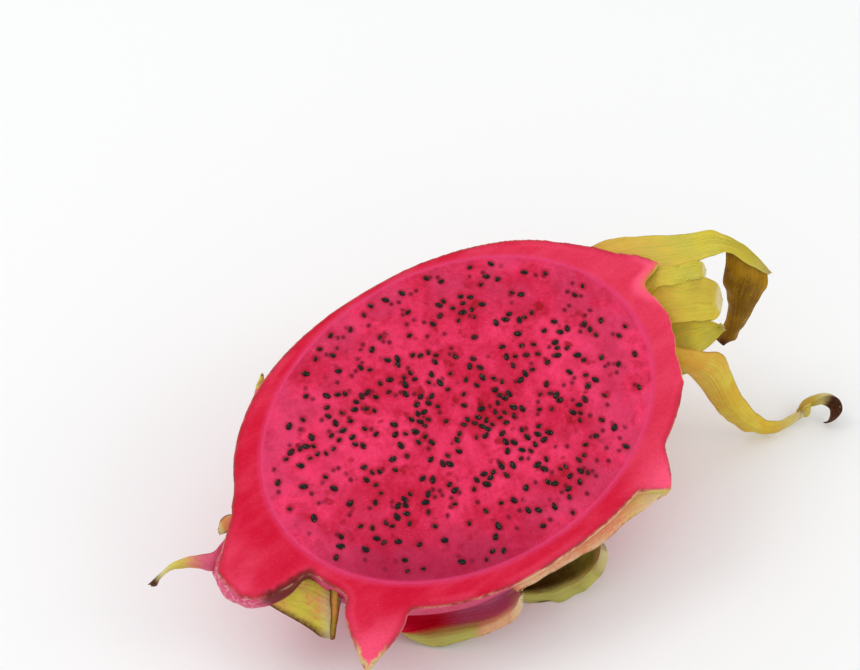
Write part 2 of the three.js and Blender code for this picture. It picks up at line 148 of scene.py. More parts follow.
LEAVES = [
    {"near": [(58, 6, -7), (66.9, 6.8, -3.8), (75.1, 3.3, -2.2), (84, 1.2, -2.5),
              (87.8, 0.7, -3.5), (91.1, 0.1, -5.4), (94.3, -4.6, -7.6), (98.7, -10, -10.2)],
     "far": [(54, 22, -5), (64.5, 20.4, -3.6), (74, 15.2, -2.6), (81.5, 10.4, -2.1),
             (89.4, 6.9, -1.9), (94.4, 0.2, -3.2), (97, -4.2, -5.8), (99.5, -10.4, -9.8)],
     "thick": (0.8, 1.9, 0.8), "cup": 1.1, "frill": 0.3, "dry": 1.1},
    {"near": [(91.2, 1.5, -5.9), (91.5, -0.2, -11), (90.5, -2.6, -17), (90.6, -5.8, -21),
              (90, -8.1, -24), (88.2, -10.2, -27.4), (86.2, -11.2, -29.8), (84.4, -12, -31.2)],
     "far": [(98.8, -9.2, -10.4), (98.1, -11.2, -13), (96.4, -12, -18), (94.3, -13.1, -22),
             (92.8, -14, -25.4), (91.2, -14.2, -28.6), (89.5, -14.8, -31), (86.6, -14.3, -32.8)],
     "thick": (0.6, 0.9, 0.5), "cup": -2.4, "tone": 1.0, "frill": 0.7, "dry": 0.86},
    {"near": [(58, -1, -9), (66, 1.8, -3.6), (72.5, -1.1, -2), (77.5, -2.6, -2), (79.5, -3.4, -2.6)],
     "far": [(60, 8, -9), (70, 6.2, -3.2), (76, 3.3, -1.7), (80.4, 1.8, -1.9), (82.2, 0.9, -2.6)],
     "thick": (1.2, 3.0, 0.9), "cup": 1.4, "frill": 0.4, "dry": 1.1, "blunt": (0, 0.1),
     "pale": 1.0},
    {"near": [(56, -8, -12), (64.4, -8.2, -5), (67.6, -10.4, -3.2), (70.8, -12.4, -3),
              (73.9, -13.6, -3.4), (77.4, -13.4, -4.2)],
     "far": [(58, 3, -11), (67, 2.6, -3.6), (72.1, -0.6, -2), (77.3, -2.0, -2), (80.2, -4.2, -2.5),
             (82, -6.8, -3.2)],
     "thick": (1.5, 4.2, 1.0), "cup": 3.2, "tone": 0.1, "frill": 0.5, "dry": 1.1, "blunt": (0, 0.16),
     "pale": 1.0, "warm": 0.4},
    {"near": [(54, -13, -15), (60.5, -14.6, -12.6), (66, -17.2, -9.6), (70.5, -17.6, -9),
              (74.4, -17, -8.5), (77, -16.5, -8)],
     "far": [(58, -4, -13), (65.4, -6.6, -8.6), (70.3, -9.2, -6), (72.9, -11.2, -5.8),
             (75.3, -13.9, -6.4), (77.2, -16.2, -7.5)],
     "thick": (1.5, 3.6, 1.0), "cup": 2.6, "frill": 0.3, "dry": 1.1},
    {"near": [(56, -10, -11), (60.2, -15.6, -11), (62, -17.9, -12.4), (65.5, -22.3, -18),
              (69.3, -27.6, -27), (73.4, -32.1, -34.5), (77.2, -36, -39), (81.8, -39.2, -41.5),
              (86, -41.6, -41.6), (90.5, -42.4, -41.5), (94.8, -42.2, -41)],
     "far": [(60, -8, -9), (64.4, -15.4, -7.4), (68, -18.8, -6.7), (71.7, -21.5, -8),
             (73.9, -25.4, -15), (76, -30.5, -23), (79.3, -34.5, -30), (83.9, -38, -37),
             (88.9, -39.8, -40), (93.6, -40.2, -40.6), (97, -40.6, -40)],
     "thick": (0.8, 2.0, 0.7), "cup": -1.6, "frill": 0.4, "dry": 0.97, "warm": 1.0},
    {"near": [(93.5, -41.6, -41.4), (97.2, -40.6, -40.4), (99.5, -40.9, -39.6), (101.6, -42.4, -39),
              (102.4, -45, -39.2), (100.6, -46.6, -41), (98.2, -46.4, -42)],
     "far": [(94.5, -40.6, -39.4), (97.2, -40.2, -38.2), (99.7, -40.6, -36.8), (102.4, -41.7, -34.6),
             (104, -45, -34.4), (102.4, -47.6, -35.4), (99.2, -47.9, -38)],
     "thick": (0.6, 1.4, 0.6), "cup": 0.9, "tone": 0.3, "frill": 0.8, "dry": 0.5,
     "blunt": (0, 0.2)},
    {"near": [(94.6, -41.4, -41), (96, -42.6, -41), (98, -42.4, -41), (99, -41.2, -40.8)],
     "far": [(94.6, -40.6, -39), (96.2, -41, -37.6), (98.6, -41, -37.8), (99.6, -40.6, -39.4)],
     "thick": (0.8, 2.4, 0.8), "cup": 1.0, "frill": 0.5, "blunt": (0.3, 0.3), "dry": 0.8},
    {"near": [(58, 2, -15), (68, 4, -17), (78, 4, -20), (86, 1, -24)],
     "far": [(60, 12, -12), (72, 13, -13), (82, 11, -16), (87, 3.5, -23)],
     "cup": -1.5, "tone": 0.2, **UNDER_LEAF},
    {"near": [(56, -8, -15), (66, -10, -18), (75, -11, -22), (81, -9, -27)],
     "far": [(58, 2, -15), (70, 1, -18), (78, -1, -22), (82, -6.5, -27)],
     "cup": -1.5, "tone": 0.1, **UNDER_LEAF},
    {"near": [(54, -15, -9), (61, -18, -14), (68, -19, -19), (74, -16, -24)],
     "far": [(56, -8, -14), (65, -9, -18), (72, -11, -22), (75, -14.5, -25)],
     "cup": -1, "tone": 0.1, **UNDER_LEAF},
]

# A leaf's look: where its dry tip begins, how olive (partly painted shade), warm, blushing,
# pale-ended and browned it is, whether its near side is a hollow painted dark as shade and how
# pink that is, and whether it is a beige ledge.
LOOKS = {"dry": 0.95, "tone": 0.0, "warm": 0.0, "blush": 0.0, "pale": 0.0, "browned": 0.0,
         "pit": 0.0, "pit_pink": 0.0, "ledge": 0.0}

# The camera stands where the photograph was taken from. Its lens, sensor and distance
# are in millimetres.
PHOTO_SIZE = (860, 670)
FACE_MIDDLE_PIXEL = (458.4, 418.0)
LENS = 75.0
SENSOR = 36.0
CAMERA_DISTANCE = 447.9
CAMERA_TURN = math.radians(35)
CAMERA_HEIGHT = math.radians(44)


def length_property(name, description, default):
    """A length, in metres."""
    return bpy.props.FloatProperty(name=name, description=description, default=default, unit="LENGTH")


def angle_property(name, description, degrees):
    """An angle whose default is given in degrees."""
    return bpy.props.FloatProperty(name=name, description=description, default=math.radians(degrees),
                                   subtype="ANGLE", unit="ROTATION")


def number_property(name, description, default):
    """A whole number."""
    return bpy.props.IntProperty(name=name, description=description, default=default)


def linear(value):
    """A display value from 0 to 255 as scene-linear light."""
    value = value / 255
    return value / 12.92 if value <= 0.04045 else ((value + 0.055) / 1.055) ** 2.4


def colour_property(name, description, *rgb):
    """A colour whose default is given in the display's 0 to 255 values."""
    return bpy.props.FloatVectorProperty(name=name, description=description, subtype="COLOR", size=3,
                                         min=0, max=1, default=tuple(linear(value) for value in rgb))


class FruitSizes(bpy.types.PropertyGroup):
    """The fruit's driving sizes."""

    pulp_long: length_property("Pulp length", "Half the length of the pulp's face", 0.054)
    pulp_wide: length_property("Pulp width", "Half the width of the pulp's face", 0.0392)
    pulp_deep: length_property("Pulp depth", "How deep the pulp reaches below its face", 0.038)
    pulp_dome: length_property("Pulp dome", "How far the middle of the face stands up", 0.0012)
    skin_wide: length_property("Skin width", "Half the width of the skin at the rim", 0.0434)
    skin_deep: length_property("Skin depth", "How deep the skin reaches below the rim", 0.042)
    skin_stem: length_property("Stem reach", "From the fruit's origin to the stem end", 0.0595)
    skin_crown: length_property("Crown reach", "From the fruit's origin to the crown end", 0.064)
    face_tilt: angle_property("Face tilt", "How far the cut face leans to the front", 21)
    crown_rise: angle_property("Crown rise", "How far the crown end is propped up", 8)
    voxel: length_property("Peel detail", "Edge length of the peel's faces", 0.0006)


class SeedSettings(bpy.types.PropertyGroup):
    """How many seeds the face shows, and their size."""

    even: number_property("Even seeds", "Seeds spread over the whole face", 215)
    crowded: number_property("Crowded seeds", "Further seeds in clumps", 112)
    sunken: number_property("Sunken seeds", "Seeds that only shimmer through the pulp", 190)
    length: length_property("Seed length", "Half the length of a seed", 0.00102)
    width: length_property("Seed width", "Half the width of a seed", 0.00063)
    apart: length_property("Seed spacing", "The least distance between even seeds", 0.0027)
    start: number_property("Seed draw", "Start of the random draw", 4177)


class FruitColours(bpy.types.PropertyGroup):
    """The fruit's colours."""

    pulp: colour_property("Pulp", "Magenta pulp", 208, 25, 68)
    pulp_light: colour_property("Light pulp", "Paler patches of pulp", 244, 58, 108)
    pulp_deep: colour_property("Deep pulp", "Darker mottling of the pulp", 178, 10, 38)
    pulp_veil: colour_property("Pulp veil", "Greyish purple patches near the edge", 206, 60, 104)
    pulp_spot: colour_property("Pulp spot", "Deep red spots", 158, 6, 18)
    # Painted shade for the pulp's front left edge.
    pulp_shade: colour_property("Pulp shade", "Dusky front left edge", 158, 20, 62)
    pulp_edge: colour_property("Pulp edge", "Pale line round the pulp", 240, 62, 116)
    sunken: colour_property("Sunken seed", "Seeds seen through the pulp", 84, 8, 30)
    rind: colour_property("Rind", "Cut face of the peel", 212, 6, 51)
    # Pale rind, partly painted highlight at the cut points and along the outer edge.
    rind_pale_and_highlight: colour_property("Light rind", "Cut flesh of the scales", 255, 90, 128)
    # Also painted shade in a band just inside the rind's outer edge.
    rind_deep_and_shade: colour_property("Deep rind", "Darker mottling of the rind", 184, 6, 44)
    skin: colour_property("Skin", "Outside of the peel", 204, 48, 98)
    skin_light: colour_property("Light skin", "Fine pale mottling of the skin", 230, 116, 148)
    dry_skin: colour_property("Dry skin", "Brown hem of the cut skin", 124, 62, 34)
    bleached: colour_property("Bleached skin", "Beige skin below the rim", 226, 182, 142)
    knob: colour_property("Stem knob", "Pale withered skin at the stem", 220, 96, 126)
    flush: colour_property("Flush", "Orange foot of scales and leaves", 226, 124, 84)
    scale: colour_property("Scale", "Yellow-green of the scales", 204, 196, 84)
    scale_edge: colour_property("Scale edge", "Green edges of the scales", 146, 150, 56)
    leaf: colour_property("Leaf", "Yellow-green of the crown leaves", 222, 204, 72)
    leaf_warm: colour_property("Warm leaf", "Orange parts of the crown leaves", 220, 164, 28)
    # Partly the dry leaf's own olive, partly painted shade.
    leaf_under_and_shade: colour_property("Inner leaf", "Olive inner side of a leaf", 124, 88, 4)
    # Partly golden patches, partly painted sheen.
    leaf_gold_and_sheen: colour_property("Golden leaf", "Golden parts of the inner side", 166, 124, 16)
    lip: colour_property("Lip", "Pale green lips of the flaps", 176, 186, 100)
    # Partly dried skin, partly painted shade in the notch.
    scab: colour_property("Scab", "Red-brown dried skin in the notch", 96, 34, 30)
    cream: colour_property("Cream edge", "Pale frayed ends of leaves", 226, 212, 168)
    # Painted highlight: tiny pale specks that stand for glints on the wet pulp and rind.
    pulp_glint: colour_property("Pulp glint", "Tiny pale specks in the pulp", 255, 128, 170)
    # Painted shade: the dark inside of the cup flap's hollow.
    pit: colour_property("Dark hollow", "Hollow of the front flap", 74, 54, 12)
    pit_pink: colour_property("Pink hollow", "Hollow of the lower flap", 206, 104, 142)
    dry: colour_property("Dry edge", "Brown dried edges and tips", 62, 38, 20)
    seed: colour_property("Seed", "Black seeds", 14, 6, 6)
    # Painted highlight: greyish specks that stand for glints on the glossy seeds.
    glint: colour_property("Seed glint", "Greyish specks on the seeds", 112, 116, 92)
    # Painted highlight along the stem knob's wrinkles.
    wrinkle_highlight: colour_property("Wrinkle", "Whitish wrinkles at the stem", 238, 196, 204)


class StageSettings(bpy.types.PropertyGroup):
    """The table and the light."""

    table: colour_property("Table", "Pale table", 246, 247, 247)
    key: bpy.props.FloatProperty(
        name="Key light", description="Power of the large light behind the left", default=3.2)
    fill: bpy.props.FloatProperty(
        name="Sky light", description="Strength of the light from all round", default=0.88)


class DragonFruitSettings(bpy.types.PropertyGroup):
    """All settings of the dragon fruit half."""

    sizes: bpy.props.PointerProperty(type=FruitSizes)
    seeds: bpy.props.PointerProperty(type=SeedSettings)
    colours: bpy.props.PointerProperty(type=FruitColours)
    stage: bpy.props.PointerProperty(type=StageSettings)


def settings():
    return bpy.context.scene.dragon_fruit


# Places and outlines

def tilt():
    """The turn from the fruit's axes to the frame's: about x by the face tilt, then about y."""
    sizes = settings().sizes
    lean = Matrix.Rotation(sizes.face_tilt, 3, "X")
    rise = Matrix.Rotation(-sizes.crown_rise, 3, "Y")
    return np.array(rise @ lean)


def face_middle():
    """Where the frame has the middle of the cut face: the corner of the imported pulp's box less
    the corner of the same bowl drawn round the origin."""
    bowl = pulp_points(np.linspace(0, 1, 40), np.linspace(0, 2 * np.pi, 121), 0)
    turned = bowl.reshape(-1, 3) @ tilt().T
    return np.array(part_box("flesh")[0]) - turned.min(axis=0) * MM


def place(points):
    """Fruit axes in millimetres to the frame in metres; nothing sinks into the table."""
    placed = points.reshape(-1, 3) @ tilt().T * MM + face_middle()
    placed[:, 2] = np.maximum(placed[:, 2], TABLE_GAP)
    return placed


def half_width(x, wide, stem, crown):
    """wide * (1 - |x / reach| ^ r) ^ (1 / r): a rounded oblong with its ends at -stem and crown."""
    share = np.minimum(1, np.abs(x) / np.where(x < 0, stem, crown))
    return wide * (1 - share ** ROUNDNESS) ** (1 / ROUNDNESS)


def skin_point(x, around):
    """The outside of the skin: at each x an oval whose half axes are half_width of x, wider at
    the back than at the front of the stem end. around is 0 at the front, 90 at the belly."""
    sizes = settings().sizes
    wide, deep = sizes.skin_wide / MM, sizes.skin_deep / MM
    stem, crown = sizes.skin_stem / MM, sizes.skin_crown / MM
    angle = np.radians(around)
    back = half_width(x, wide, stem, crown)
    front = np.maximum(half_width(x, wide, STEM_FRONT, crown), 0.35 * back)
    front = front * (1 - CROWN_SLIMMER * smooth(x, 25, 46))
    depth = half_width(x, deep, stem - STEM_SHORTER, crown)
    sideways = np.where(np.cos(angle) > 0, front, back * BACK_SLIMMER)
    return np.stack([x + 0 * angle, -sideways * np.cos(angle), -depth * np.sin(angle)], axis=-1)


def skin_normal(x, around):
    """The skin's outward direction, from differences along it and round it."""
    along = skin_point(x + 0.5, around) - skin_point(x - 0.5, around)
    round_it = skin_point(x, around + 1) - skin_point(x, around - 1)
    return unit(np.cross(round_it, along))


def unit(vectors):
    return vectors / np.maximum(np.linalg.norm(vectors, axis=-1, keepdims=True), 1e-9)


def smooth(values, low, high):
    """Rises smoothly from 0 at low to 1 at high: 3t^2 - 2t^3."""
    t = np.clip((values - low) / (high - low), 0, 1)
    return t * t * (3 - 2 * t)


def ripple(points, size, seed, waves=14):
    """Soft noise from -1 to 1: a mean of sine waves about size long in random directions."""
    rng = np.random.default_rng(seed)
    directions = unit(rng.normal(size=(waves, points.shape[-1])))
    lengths = size * rng.uniform(0.6, 1.6, waves)
    phases = rng.uniform(0, 2 * np.pi, waves)
    total = np.zeros(points.shape[:-1])
    for direction, length, phase in zip(directions, lengths, phases):
        total += np.sin(points @ direction * (2 * np.pi / length) + phase)
    return total / math.sqrt(waves)


def spline(points, t):
    """A centripetal Catmull-Rom curve through the points, at the shares t of its spans."""
    points = np.array(points, float)
    padded = np.vstack([2 * points[0] - points[1], points, 2 * points[-1] - points[-2]])
    spans = len(points) - 1
    index = np.minimum((np.asarray(t) * spans).astype(int), spans - 1)
    w = (np.asarray(t) * spans - index)[:, None]
    x0, x1, x2, x3 = (padded[index + k] for k in range(4))
    step = [np.sqrt(np.linalg.norm(b - a, axis=1, keepdims=True)) for a, b in
            ((x0, x1), (x1, x2), (x2, x3))]
    d0, d1, d2 = (np.maximum(s, 1e-4) for s in step)
    t1 = ((x1 - x0) / d0 - (x2 - x0) / (d0 + d1) + (x2 - x1) / d1) * d1
    t2 = ((x2 - x1) / d1 - (x3 - x1) / (d1 + d2) + (x3 - x2) / d2) * d1
    return x1 + t1 * w + (3 * (x2 - x1) - 2 * t1 - t2) * w**2 + (2 * (x1 - x2) + t1 + t2) * w**3


# Meshes

def ring_faces(rings, sides, poles=False):
    """Quads between neighbouring closed rings, which are stored one after another. With poles, a
    point before the rings and one after them close the ends with fans of triangles."""
    start = int(poles)
    k, i = np.meshgrid(np.arange(rings - 1), np.arange(sides), indexing="ij")
    a = start + k * sides + i
    b = start + k * sides + (i + 1) % sides
    faces = np.stack([a, b, b + sides, a + sides], axis=-1).reshape(-1, 4).tolist()
    if poles:
        side = np.arange(sides)
        following = (side + 1) % sides
        end = start + (rings - 1) * sides
        faces += np.stack([0 * side, start + following, start + side], axis=-1).tolist()
        faces += np.stack([end + side, end + following, end + sides + 0 * side], axis=-1).tolist()
    return faces


def strip_faces(rings, half):
    """Quads round a closed blade of rings of 2 * half points, with its two ends stitched."""
    faces = ring_faces(rings, 2 * half)
    end = (rings - 1) * 2 * half
    i = np.arange(half - 1)
    start_cap = np.stack([i, 2 * half - 1 - i, 2 * half - 2 - i, i + 1], axis=-1)
    end_cap = end + np.stack([i, i + 1, 2 * half - 2 - i, 2 * half - 1 - i], axis=-1)
    return faces + start_cap.tolist() + end_cap.tolist()


def outward(vertices, faces):
    """The faces, all turned over if the closed body's signed volume is negative."""
    fan = np.array([(f[0], f[k], f[k + 1]) for f in faces for k in range(1, len(f) - 1)])
    a, b, c = (vertices[fan[:, k]] for k in range(3))
    volume = np.einsum("ij,ij->i", a, np.cross(b, c)).sum()
    return faces if volume > 0 else [face[::-1] for face in faces]


def closed_rings(first, rings, last):
    """A closed body: rings of points, as an array by ring and side, between two poles."""
    vertices = np.vstack([[first], rings.reshape(-1, 3), [last]])
    return vertices, outward(vertices, ring_faces(*rings.shape[:2], poles=True))


def ball(rings, sides, size, blunt=0.0):
    """A ball with its poles on x: at the angle t from the first pole its radius is
    sin(t) (1 - blunt cos(t)). Everything is multiplied by size along each axis."""
    level = np.linspace(0, np.pi, rings + 2)[1:-1, None]
    angle = np.linspace(0, 2 * np.pi, sides, endpoint=False)
    radius = np.sin(level) * (1 - blunt * np.cos(level))
    points = np.stack([np.cos(level) + 0 * angle, radius * np.cos(angle), radius * np.sin(angle)], -1)
    return closed_rings((size[0], 0, 0), points * size, (-size[0], 0, 0))


def new_mesh(name, vertices, faces, values=None):
    """A mesh of those vertices and faces, with values as its vertices' own attributes."""
    mesh = bpy.data.meshes.new(name)
    mesh.from_pydata(vertices, [], faces)
    for key, data in (values or {}).items():
        kind = "FLOAT" if data.ndim == 1 else "FLOAT_VECTOR"
        layer = mesh.attributes.new(key, kind, "POINT")
        layer.data.foreach_set("value" if data.ndim == 1 else "vector",
                               np.ascontiguousarray(data, np.float32).ravel())
    mesh.validate()
    mesh.update()
    return mesh


def new_object(name, mesh, smooth_faces=True):
    thing = bpy.data.objects.new(name, mesh)
    bpy.context.scene.collection.objects.link(thing)
    if smooth_faces:
        mesh.shade_smooth()
    return thing


def unpacked(mesh):
    """A mesh's vertices, vertex normals, faces and edges as arrays and lists. The mesh goes."""
    vertices = np.zeros(len(mesh.vertices) * 3, np.float32)
    normals = np.zeros(len(mesh.vertices) * 3, np.float32)
    corners = np.zeros(len(mesh.loops), int)
    starts = np.zeros(len(mesh.polygons), int)
    edges = np.zeros(len(mesh.edges) * 2, int)
    mesh.vertices.foreach_get("co", vertices)
    mesh.vertex_normals.foreach_get("vector", normals)
    mesh.loops.foreach_get("vertex_index", corners)
    mesh.polygons.foreach_get("loop_start", starts)
    mesh.edges.foreach_get("vertices", edges)
    bpy.data.meshes.remove(mesh)
    faces = [piece.tolist() for piece in np.split(corners, starts[1:])]
    vertices, normals = (array.reshape(-1, 3).astype(float) for array in (vertices, normals))
    return vertices, normals, faces, edges.reshape(-1, 2)


def stacked(bodies):
    """Several (vertices, faces) bodies as one."""
    vertices, faces, start = [], [], 0
    for body_vertices, body_faces in bodies:
        vertices.append(body_vertices)
        faces += [[start + corner for corner in face] for face in body_faces]
        start += len(body_vertices)
    return np.vstack(vertices), faces


def modified(mesh, kind, **options):
    """The mesh after one modifier of that kind, and the old mesh removed."""
    thing = new_object("work", mesh, smooth_faces=False)
    modifier = thing.modifiers.new("work", kind)
    for key, value in options.items():
        setattr(modifier, key, value)
    graph = bpy.context.evaluated_depsgraph_get()
    result = bpy.data.meshes.new_from_object(thing.evaluated_get(graph))
    bpy.data.objects.remove(thing)
    bpy.data.meshes.remove(mesh)
    return result


def combined(mesh, operation, vertices, faces):
    """The mesh joined, cut or kept by a closed body."""
    tool = new_object("tool", new_mesh("tool", vertices, faces), smooth_faces=False)
    result = modified(mesh, "BOOLEAN", operation=operation, solver="MANIFOLD", object=tool)
    bpy.data.objects.remove(tool)
    return result


def relaxed(vertices, edges, weights, rounds):
    """Each round moves every vertex part of the way, its weight, to the mean of its neighbours."""
    count = len(vertices)
    degree = np.bincount(edges.ravel(), minlength=count)[:, None]
    for _ in range(rounds):
        total = np.zeros_like(vertices)
        for axis in range(3):
            total[:, axis] = (
                np.bincount(edges[:, 0], weights=vertices[edges[:, 1], axis], minlength=count)
                + np.bincount(edges[:, 1], weights=vertices[edges[:, 0], axis], minlength=count))
        vertices = vertices + weights[:, None] * (total / np.maximum(degree, 1) - vertices)
    return vertices


# Blades

def blade(near, far, thick, cup=0.0, gutter=None, frill=0.0, blunt=(0.0, 0.0), steps=40,
          across=12, seed=1, **look):
    """A closed leaf between two splines. At the share x from near to far its half thickness is
    a parabola through thick, thinned to the edges by sqrt(1 - 0.8 (2x - 1)^2). Its middle stands
    up by 4x(1 - x) cup, or sinks by sin(pi x / share) gutter up to that share, growing over the
    first fifth. Over the shares blunt of its length at the start and the end the edges come
    together as quarter circles, and frill waves them.
    Returns vertices, faces and where each vertex lies on the leaf, with the leaf's look."""
    t = np.linspace(0, 1, steps + 1)
    start, end = spline(near, t), spline(far, t)
    late = np.clip((t - 1 + blunt[1]) / max(blunt[1], 1e-6), 0, 0.995)
    early = np.clip((blunt[0] - t) / max(blunt[0], 1e-6), 0, 0.995)
    closing = np.sqrt((1 - late**2) * (1 - early**2))[:, None]
    middle = (start + end) / 2
    start, end = middle + (start - middle) * closing, middle + (end - middle) * closing
    along = np.gradient((start + end) / 2, axis=0)
    up = unit(np.cross(end - start, along))
    x = np.linspace(0, 1, across + 1)
    arch = 4 * x * (1 - x)
    profile = thick[0] * (1 - x) * (1 - 2 * x) + thick[1] * arch + thick[2] * x * (2 * x - 1)
    half = 0.5 * profile * np.sqrt(1 - 0.8 * (2 * x - 1) ** 2)
    rise = cup * arch
    if gutter:
        rise = -gutter[0] * np.sin(np.pi * np.minimum(1, x / gutter[1]))
    centre = start[:, None] + (end - start)[:, None] * x[None, :, None]
    growing = smooth(t, -0.02, 0.2) * closing[:, 0]
    centre = centre + up[:, None] * (growing[:, None] * rise[None])[..., None]
    length = np.concatenate([[0], np.cumsum(np.linalg.norm(np.diff(end, axis=0), axis=1))])
    waves = ripple(np.stack([length, 0 * length + seed], axis=-1), 6, seed)
    lift = frill * (waves * closing[:, 0] ** 2)[:, None] * ((2 * x - 1) ** 2)[None]
    centre = centre + up[:, None] * lift[..., None]
    thin = np.sqrt(np.clip(1.15 - t, 0.15, 1))[:, None, None] * half[None, :, None]
    upper = centre + up[:, None] * thin
    lower = centre - up[:, None] * thin
    vertices = np.concatenate([upper, lower[:, ::-1]], axis=1).reshape(-1, 3)
    share = np.concatenate([x, x[::-1]])
    values = {
        "along": np.repeat(t, 2 * (across + 1)),
        "across": np.tile(share, steps + 1),
    }
    for key, default in LOOKS.items():
        values[key] = np.full(len(vertices), float(look.get(key, default)))
    return vertices, outward(vertices, strip_faces(steps + 1, across + 1)), values


def scale_half(width, s):
    """Half a scale's width at the share s of its length, which shrinks as (1 - s^1.7)^0.8."""
    return np.maximum(0.6, 0.5 * width * (1 - s**1.7) ** 0.8)


def scale_edges(x, around, length, width, lift):
    """The two edges of a scale on the skin: its middle leaves the skin from SCALE_ROOT below it
    up to lift, as s^1.4, and narrows to a point by scale_half."""
    s = np.linspace(0, 1, SCALE_STEPS)
    at = x + length * s
    side = unit(skin_point(at, around + 1) - skin_point(at, around - 1))
    height = -SCALE_ROOT + (lift + SCALE_ROOT) * s**1.4
    centre = skin_point(at, around) + skin_normal(at, around) * height[:, None]
    reach = side * scale_half(width, s)[:, None]
    return (centre - reach).tolist(), (centre + reach).tolist()


def peel_blades():
    """The cut points and the scales, which are fused with the skin."""
    blades = [blade(**spec, steps=24, across=12) for spec in CUT_POINTS]
    for k, spec in enumerate(SCALES):
        near, far = scale_edges(**spec)
        blades.append(blade(near, far, (1.3, 2.8, 1.3), steps=30, frill=0.35, seed=20 + k))
    return blades


def skin_body():
    """The whole skin as rings of skin_point, with soft dents and bulges."""
    sizes = settings().sizes
    stem, crown = sizes.skin_stem / MM - STEM_SHORTER, sizes.skin_crown / MM
    swing = -np.cos(np.linspace(0, np.pi, 92)[1:-1])
    x = (swing * np.where(swing < 0, stem, crown))[:, None]
    around = np.arange(0, 360, 3.0)
    points = skin_point(x, around)
    dents = 0.55 * ripple(points, 34, 5) + 0.18 * ripple(points, 12, 6)
    depth = dents * smooth(-points[..., 2], 1, 12)
    return closed_rings((-stem, 5, 0), points + skin_normal(x * 0.97, around) * depth[..., None],
                        (crown, 0, 0))


def end_axes(end):
    """An end's middle, its outward axis and the direction across it."""
    turn = math.radians(end["turn"])
    axis = np.array([math.cos(turn), math.sin(turn), 0])
    side = np.array([-math.sin(turn), math.cos(turn), 0])
    return np.array([end["x"], end["y"], 0]), axis, side


def round_end(end, profile):
    """A lathe body along an end's axis from (distance, radius) pairs, which lie on a spline."""
    outline = spline([(d, r, 0) for d, r in profile], np.linspace(0, 1, 24))
    middle, axis, side = end_axes(end)
    angle = np.linspace(0, 2 * np.pi, 64, endpoint=False)[:, None]
    radial = np.cos(angle) * side + np.sin(angle) * np.array([0, 0, 1])
    rings = middle + outline[:, None, :1] * axis + outline[:, None, 1:2] * radial
    return closed_rings(middle + profile[0][0] * axis, rings, middle + profile[-1][0] * axis)


def knob():
    """The ellipsoid round the stem scar."""
    vertices, faces = ball(24, 40, KNOB_SIZE)
    return vertices + KNOB_CENTRE, faces


def knife_height(share):
    """The height of the cut at that share of the face's radius: level over the pulp, then down
    by RIM_DROP (1 - exp((1 - share) / RIM_REACH)) over the rind."""
    return -RIM_DROP * (1 - np.exp(np.minimum(0, 1 - share) / RIM_REACH))


def face_share(points):
    """How far a point lies from the middle of the face, as a share of the pulp's radius there."""
    sizes = settings().sizes
    return np.hypot((points[..., 0] - FACE_MIDDLE[0]) * MM / sizes.pulp_long,
                    (points[..., 1] - FACE_MIDDLE[1]) * MM / sizes.pulp_wide)


def face_point(u, v):
    """The point of the level face at the shares u and v of its radii."""
    sizes = settings().sizes
    x = FACE_MIDDLE[0] + sizes.pulp_long / MM * u
    y = FACE_MIDDLE[1] + sizes.pulp_wide / MM * v
    return np.stack(np.broadcast_arrays(x, y, 0.0 * (x + y)), axis=-1)


def under_knife():
    """All that lies below the cut, down to FAR_BELOW: rings of the oval face at growing shares, which
    a soft ripple keeps from being quite even."""
    shares = np.concatenate([[1.0], np.linspace(1.01, 1.4, 30), [1.8, 3.0, 3.0]])
    angle = np.linspace(0, 2 * np.pi, 160, endpoint=False)
    rings = face_point(shares[:, None] * np.cos(angle), shares[:, None] * np.sin(angle))
    uneven = 0.22 * ripple(rings, 13, 71) + 0.08 * ripple(rings, 4, 72)
    rings[..., 2] = knife_height(shares)[:, None] + uneven * smooth(shares, 1.03, 1.15)[:, None]
    rings[-1, :, 2] = -FAR_BELOW
    middle = face_point(0.0, 0.0)
    return closed_rings(middle, rings, middle - (0, 0, FAR_BELOW))


def pulp_points(level, angle, room, middle=PULP_MIDDLE):
    """The bowl below the face: rings that shrink as cos and sink as sin of a quarter turn."""
    sizes = settings().sizes
    turn = level[:, None] * np.pi / 2
    x = middle[0] + (sizes.pulp_long / MM + room) * np.cos(turn) * np.cos(angle)
    y = middle[1] + (sizes.pulp_wide / MM + room) * np.cos(turn) * np.sin(angle)
    z = -(sizes.pulp_deep / MM + room) * np.sin(turn) + 0 * angle
    return np.stack([x, y, z], axis=-1)


def hollow():
    """The room for the pulp, a hair smaller than the pulp so that no gap shows between them:
    the bowl, and a lid well above the face."""
    room = -PULP_OVERLAP
    angle = np.linspace(0, 2 * np.pi, 240, endpoint=False)
    bowl = pulp_points(np.linspace(0, 0.985, 30), angle, room, FACE_MIDDLE)
    rings = np.concatenate([bowl[:1] + np.array([0, 0, 8.0]), bowl])
    middle = face_point(0.0, 0.0)
    deep = settings().sizes.pulp_deep / MM + room
    return closed_rings(middle + (0, 0, 8), rings, middle - (0, 0, deep))


def crown_edge(across, height):
    """How far past the crown's ring the rind reaches: a lobe at the strap leaf, a bay beside it
    and a low swell in front, all of which fade below the rim."""
    lobe = 3.8 * np.exp(-((across - 10.5) / 2.6) ** 2)
    bay = 2.0 * np.exp(-((across - 4) / 3.5) ** 2)
    swell = 1.5 * np.exp(-((across + 7) / 5) ** 2)
    return (lobe - bay + swell) * smooth(height, -13, -5)


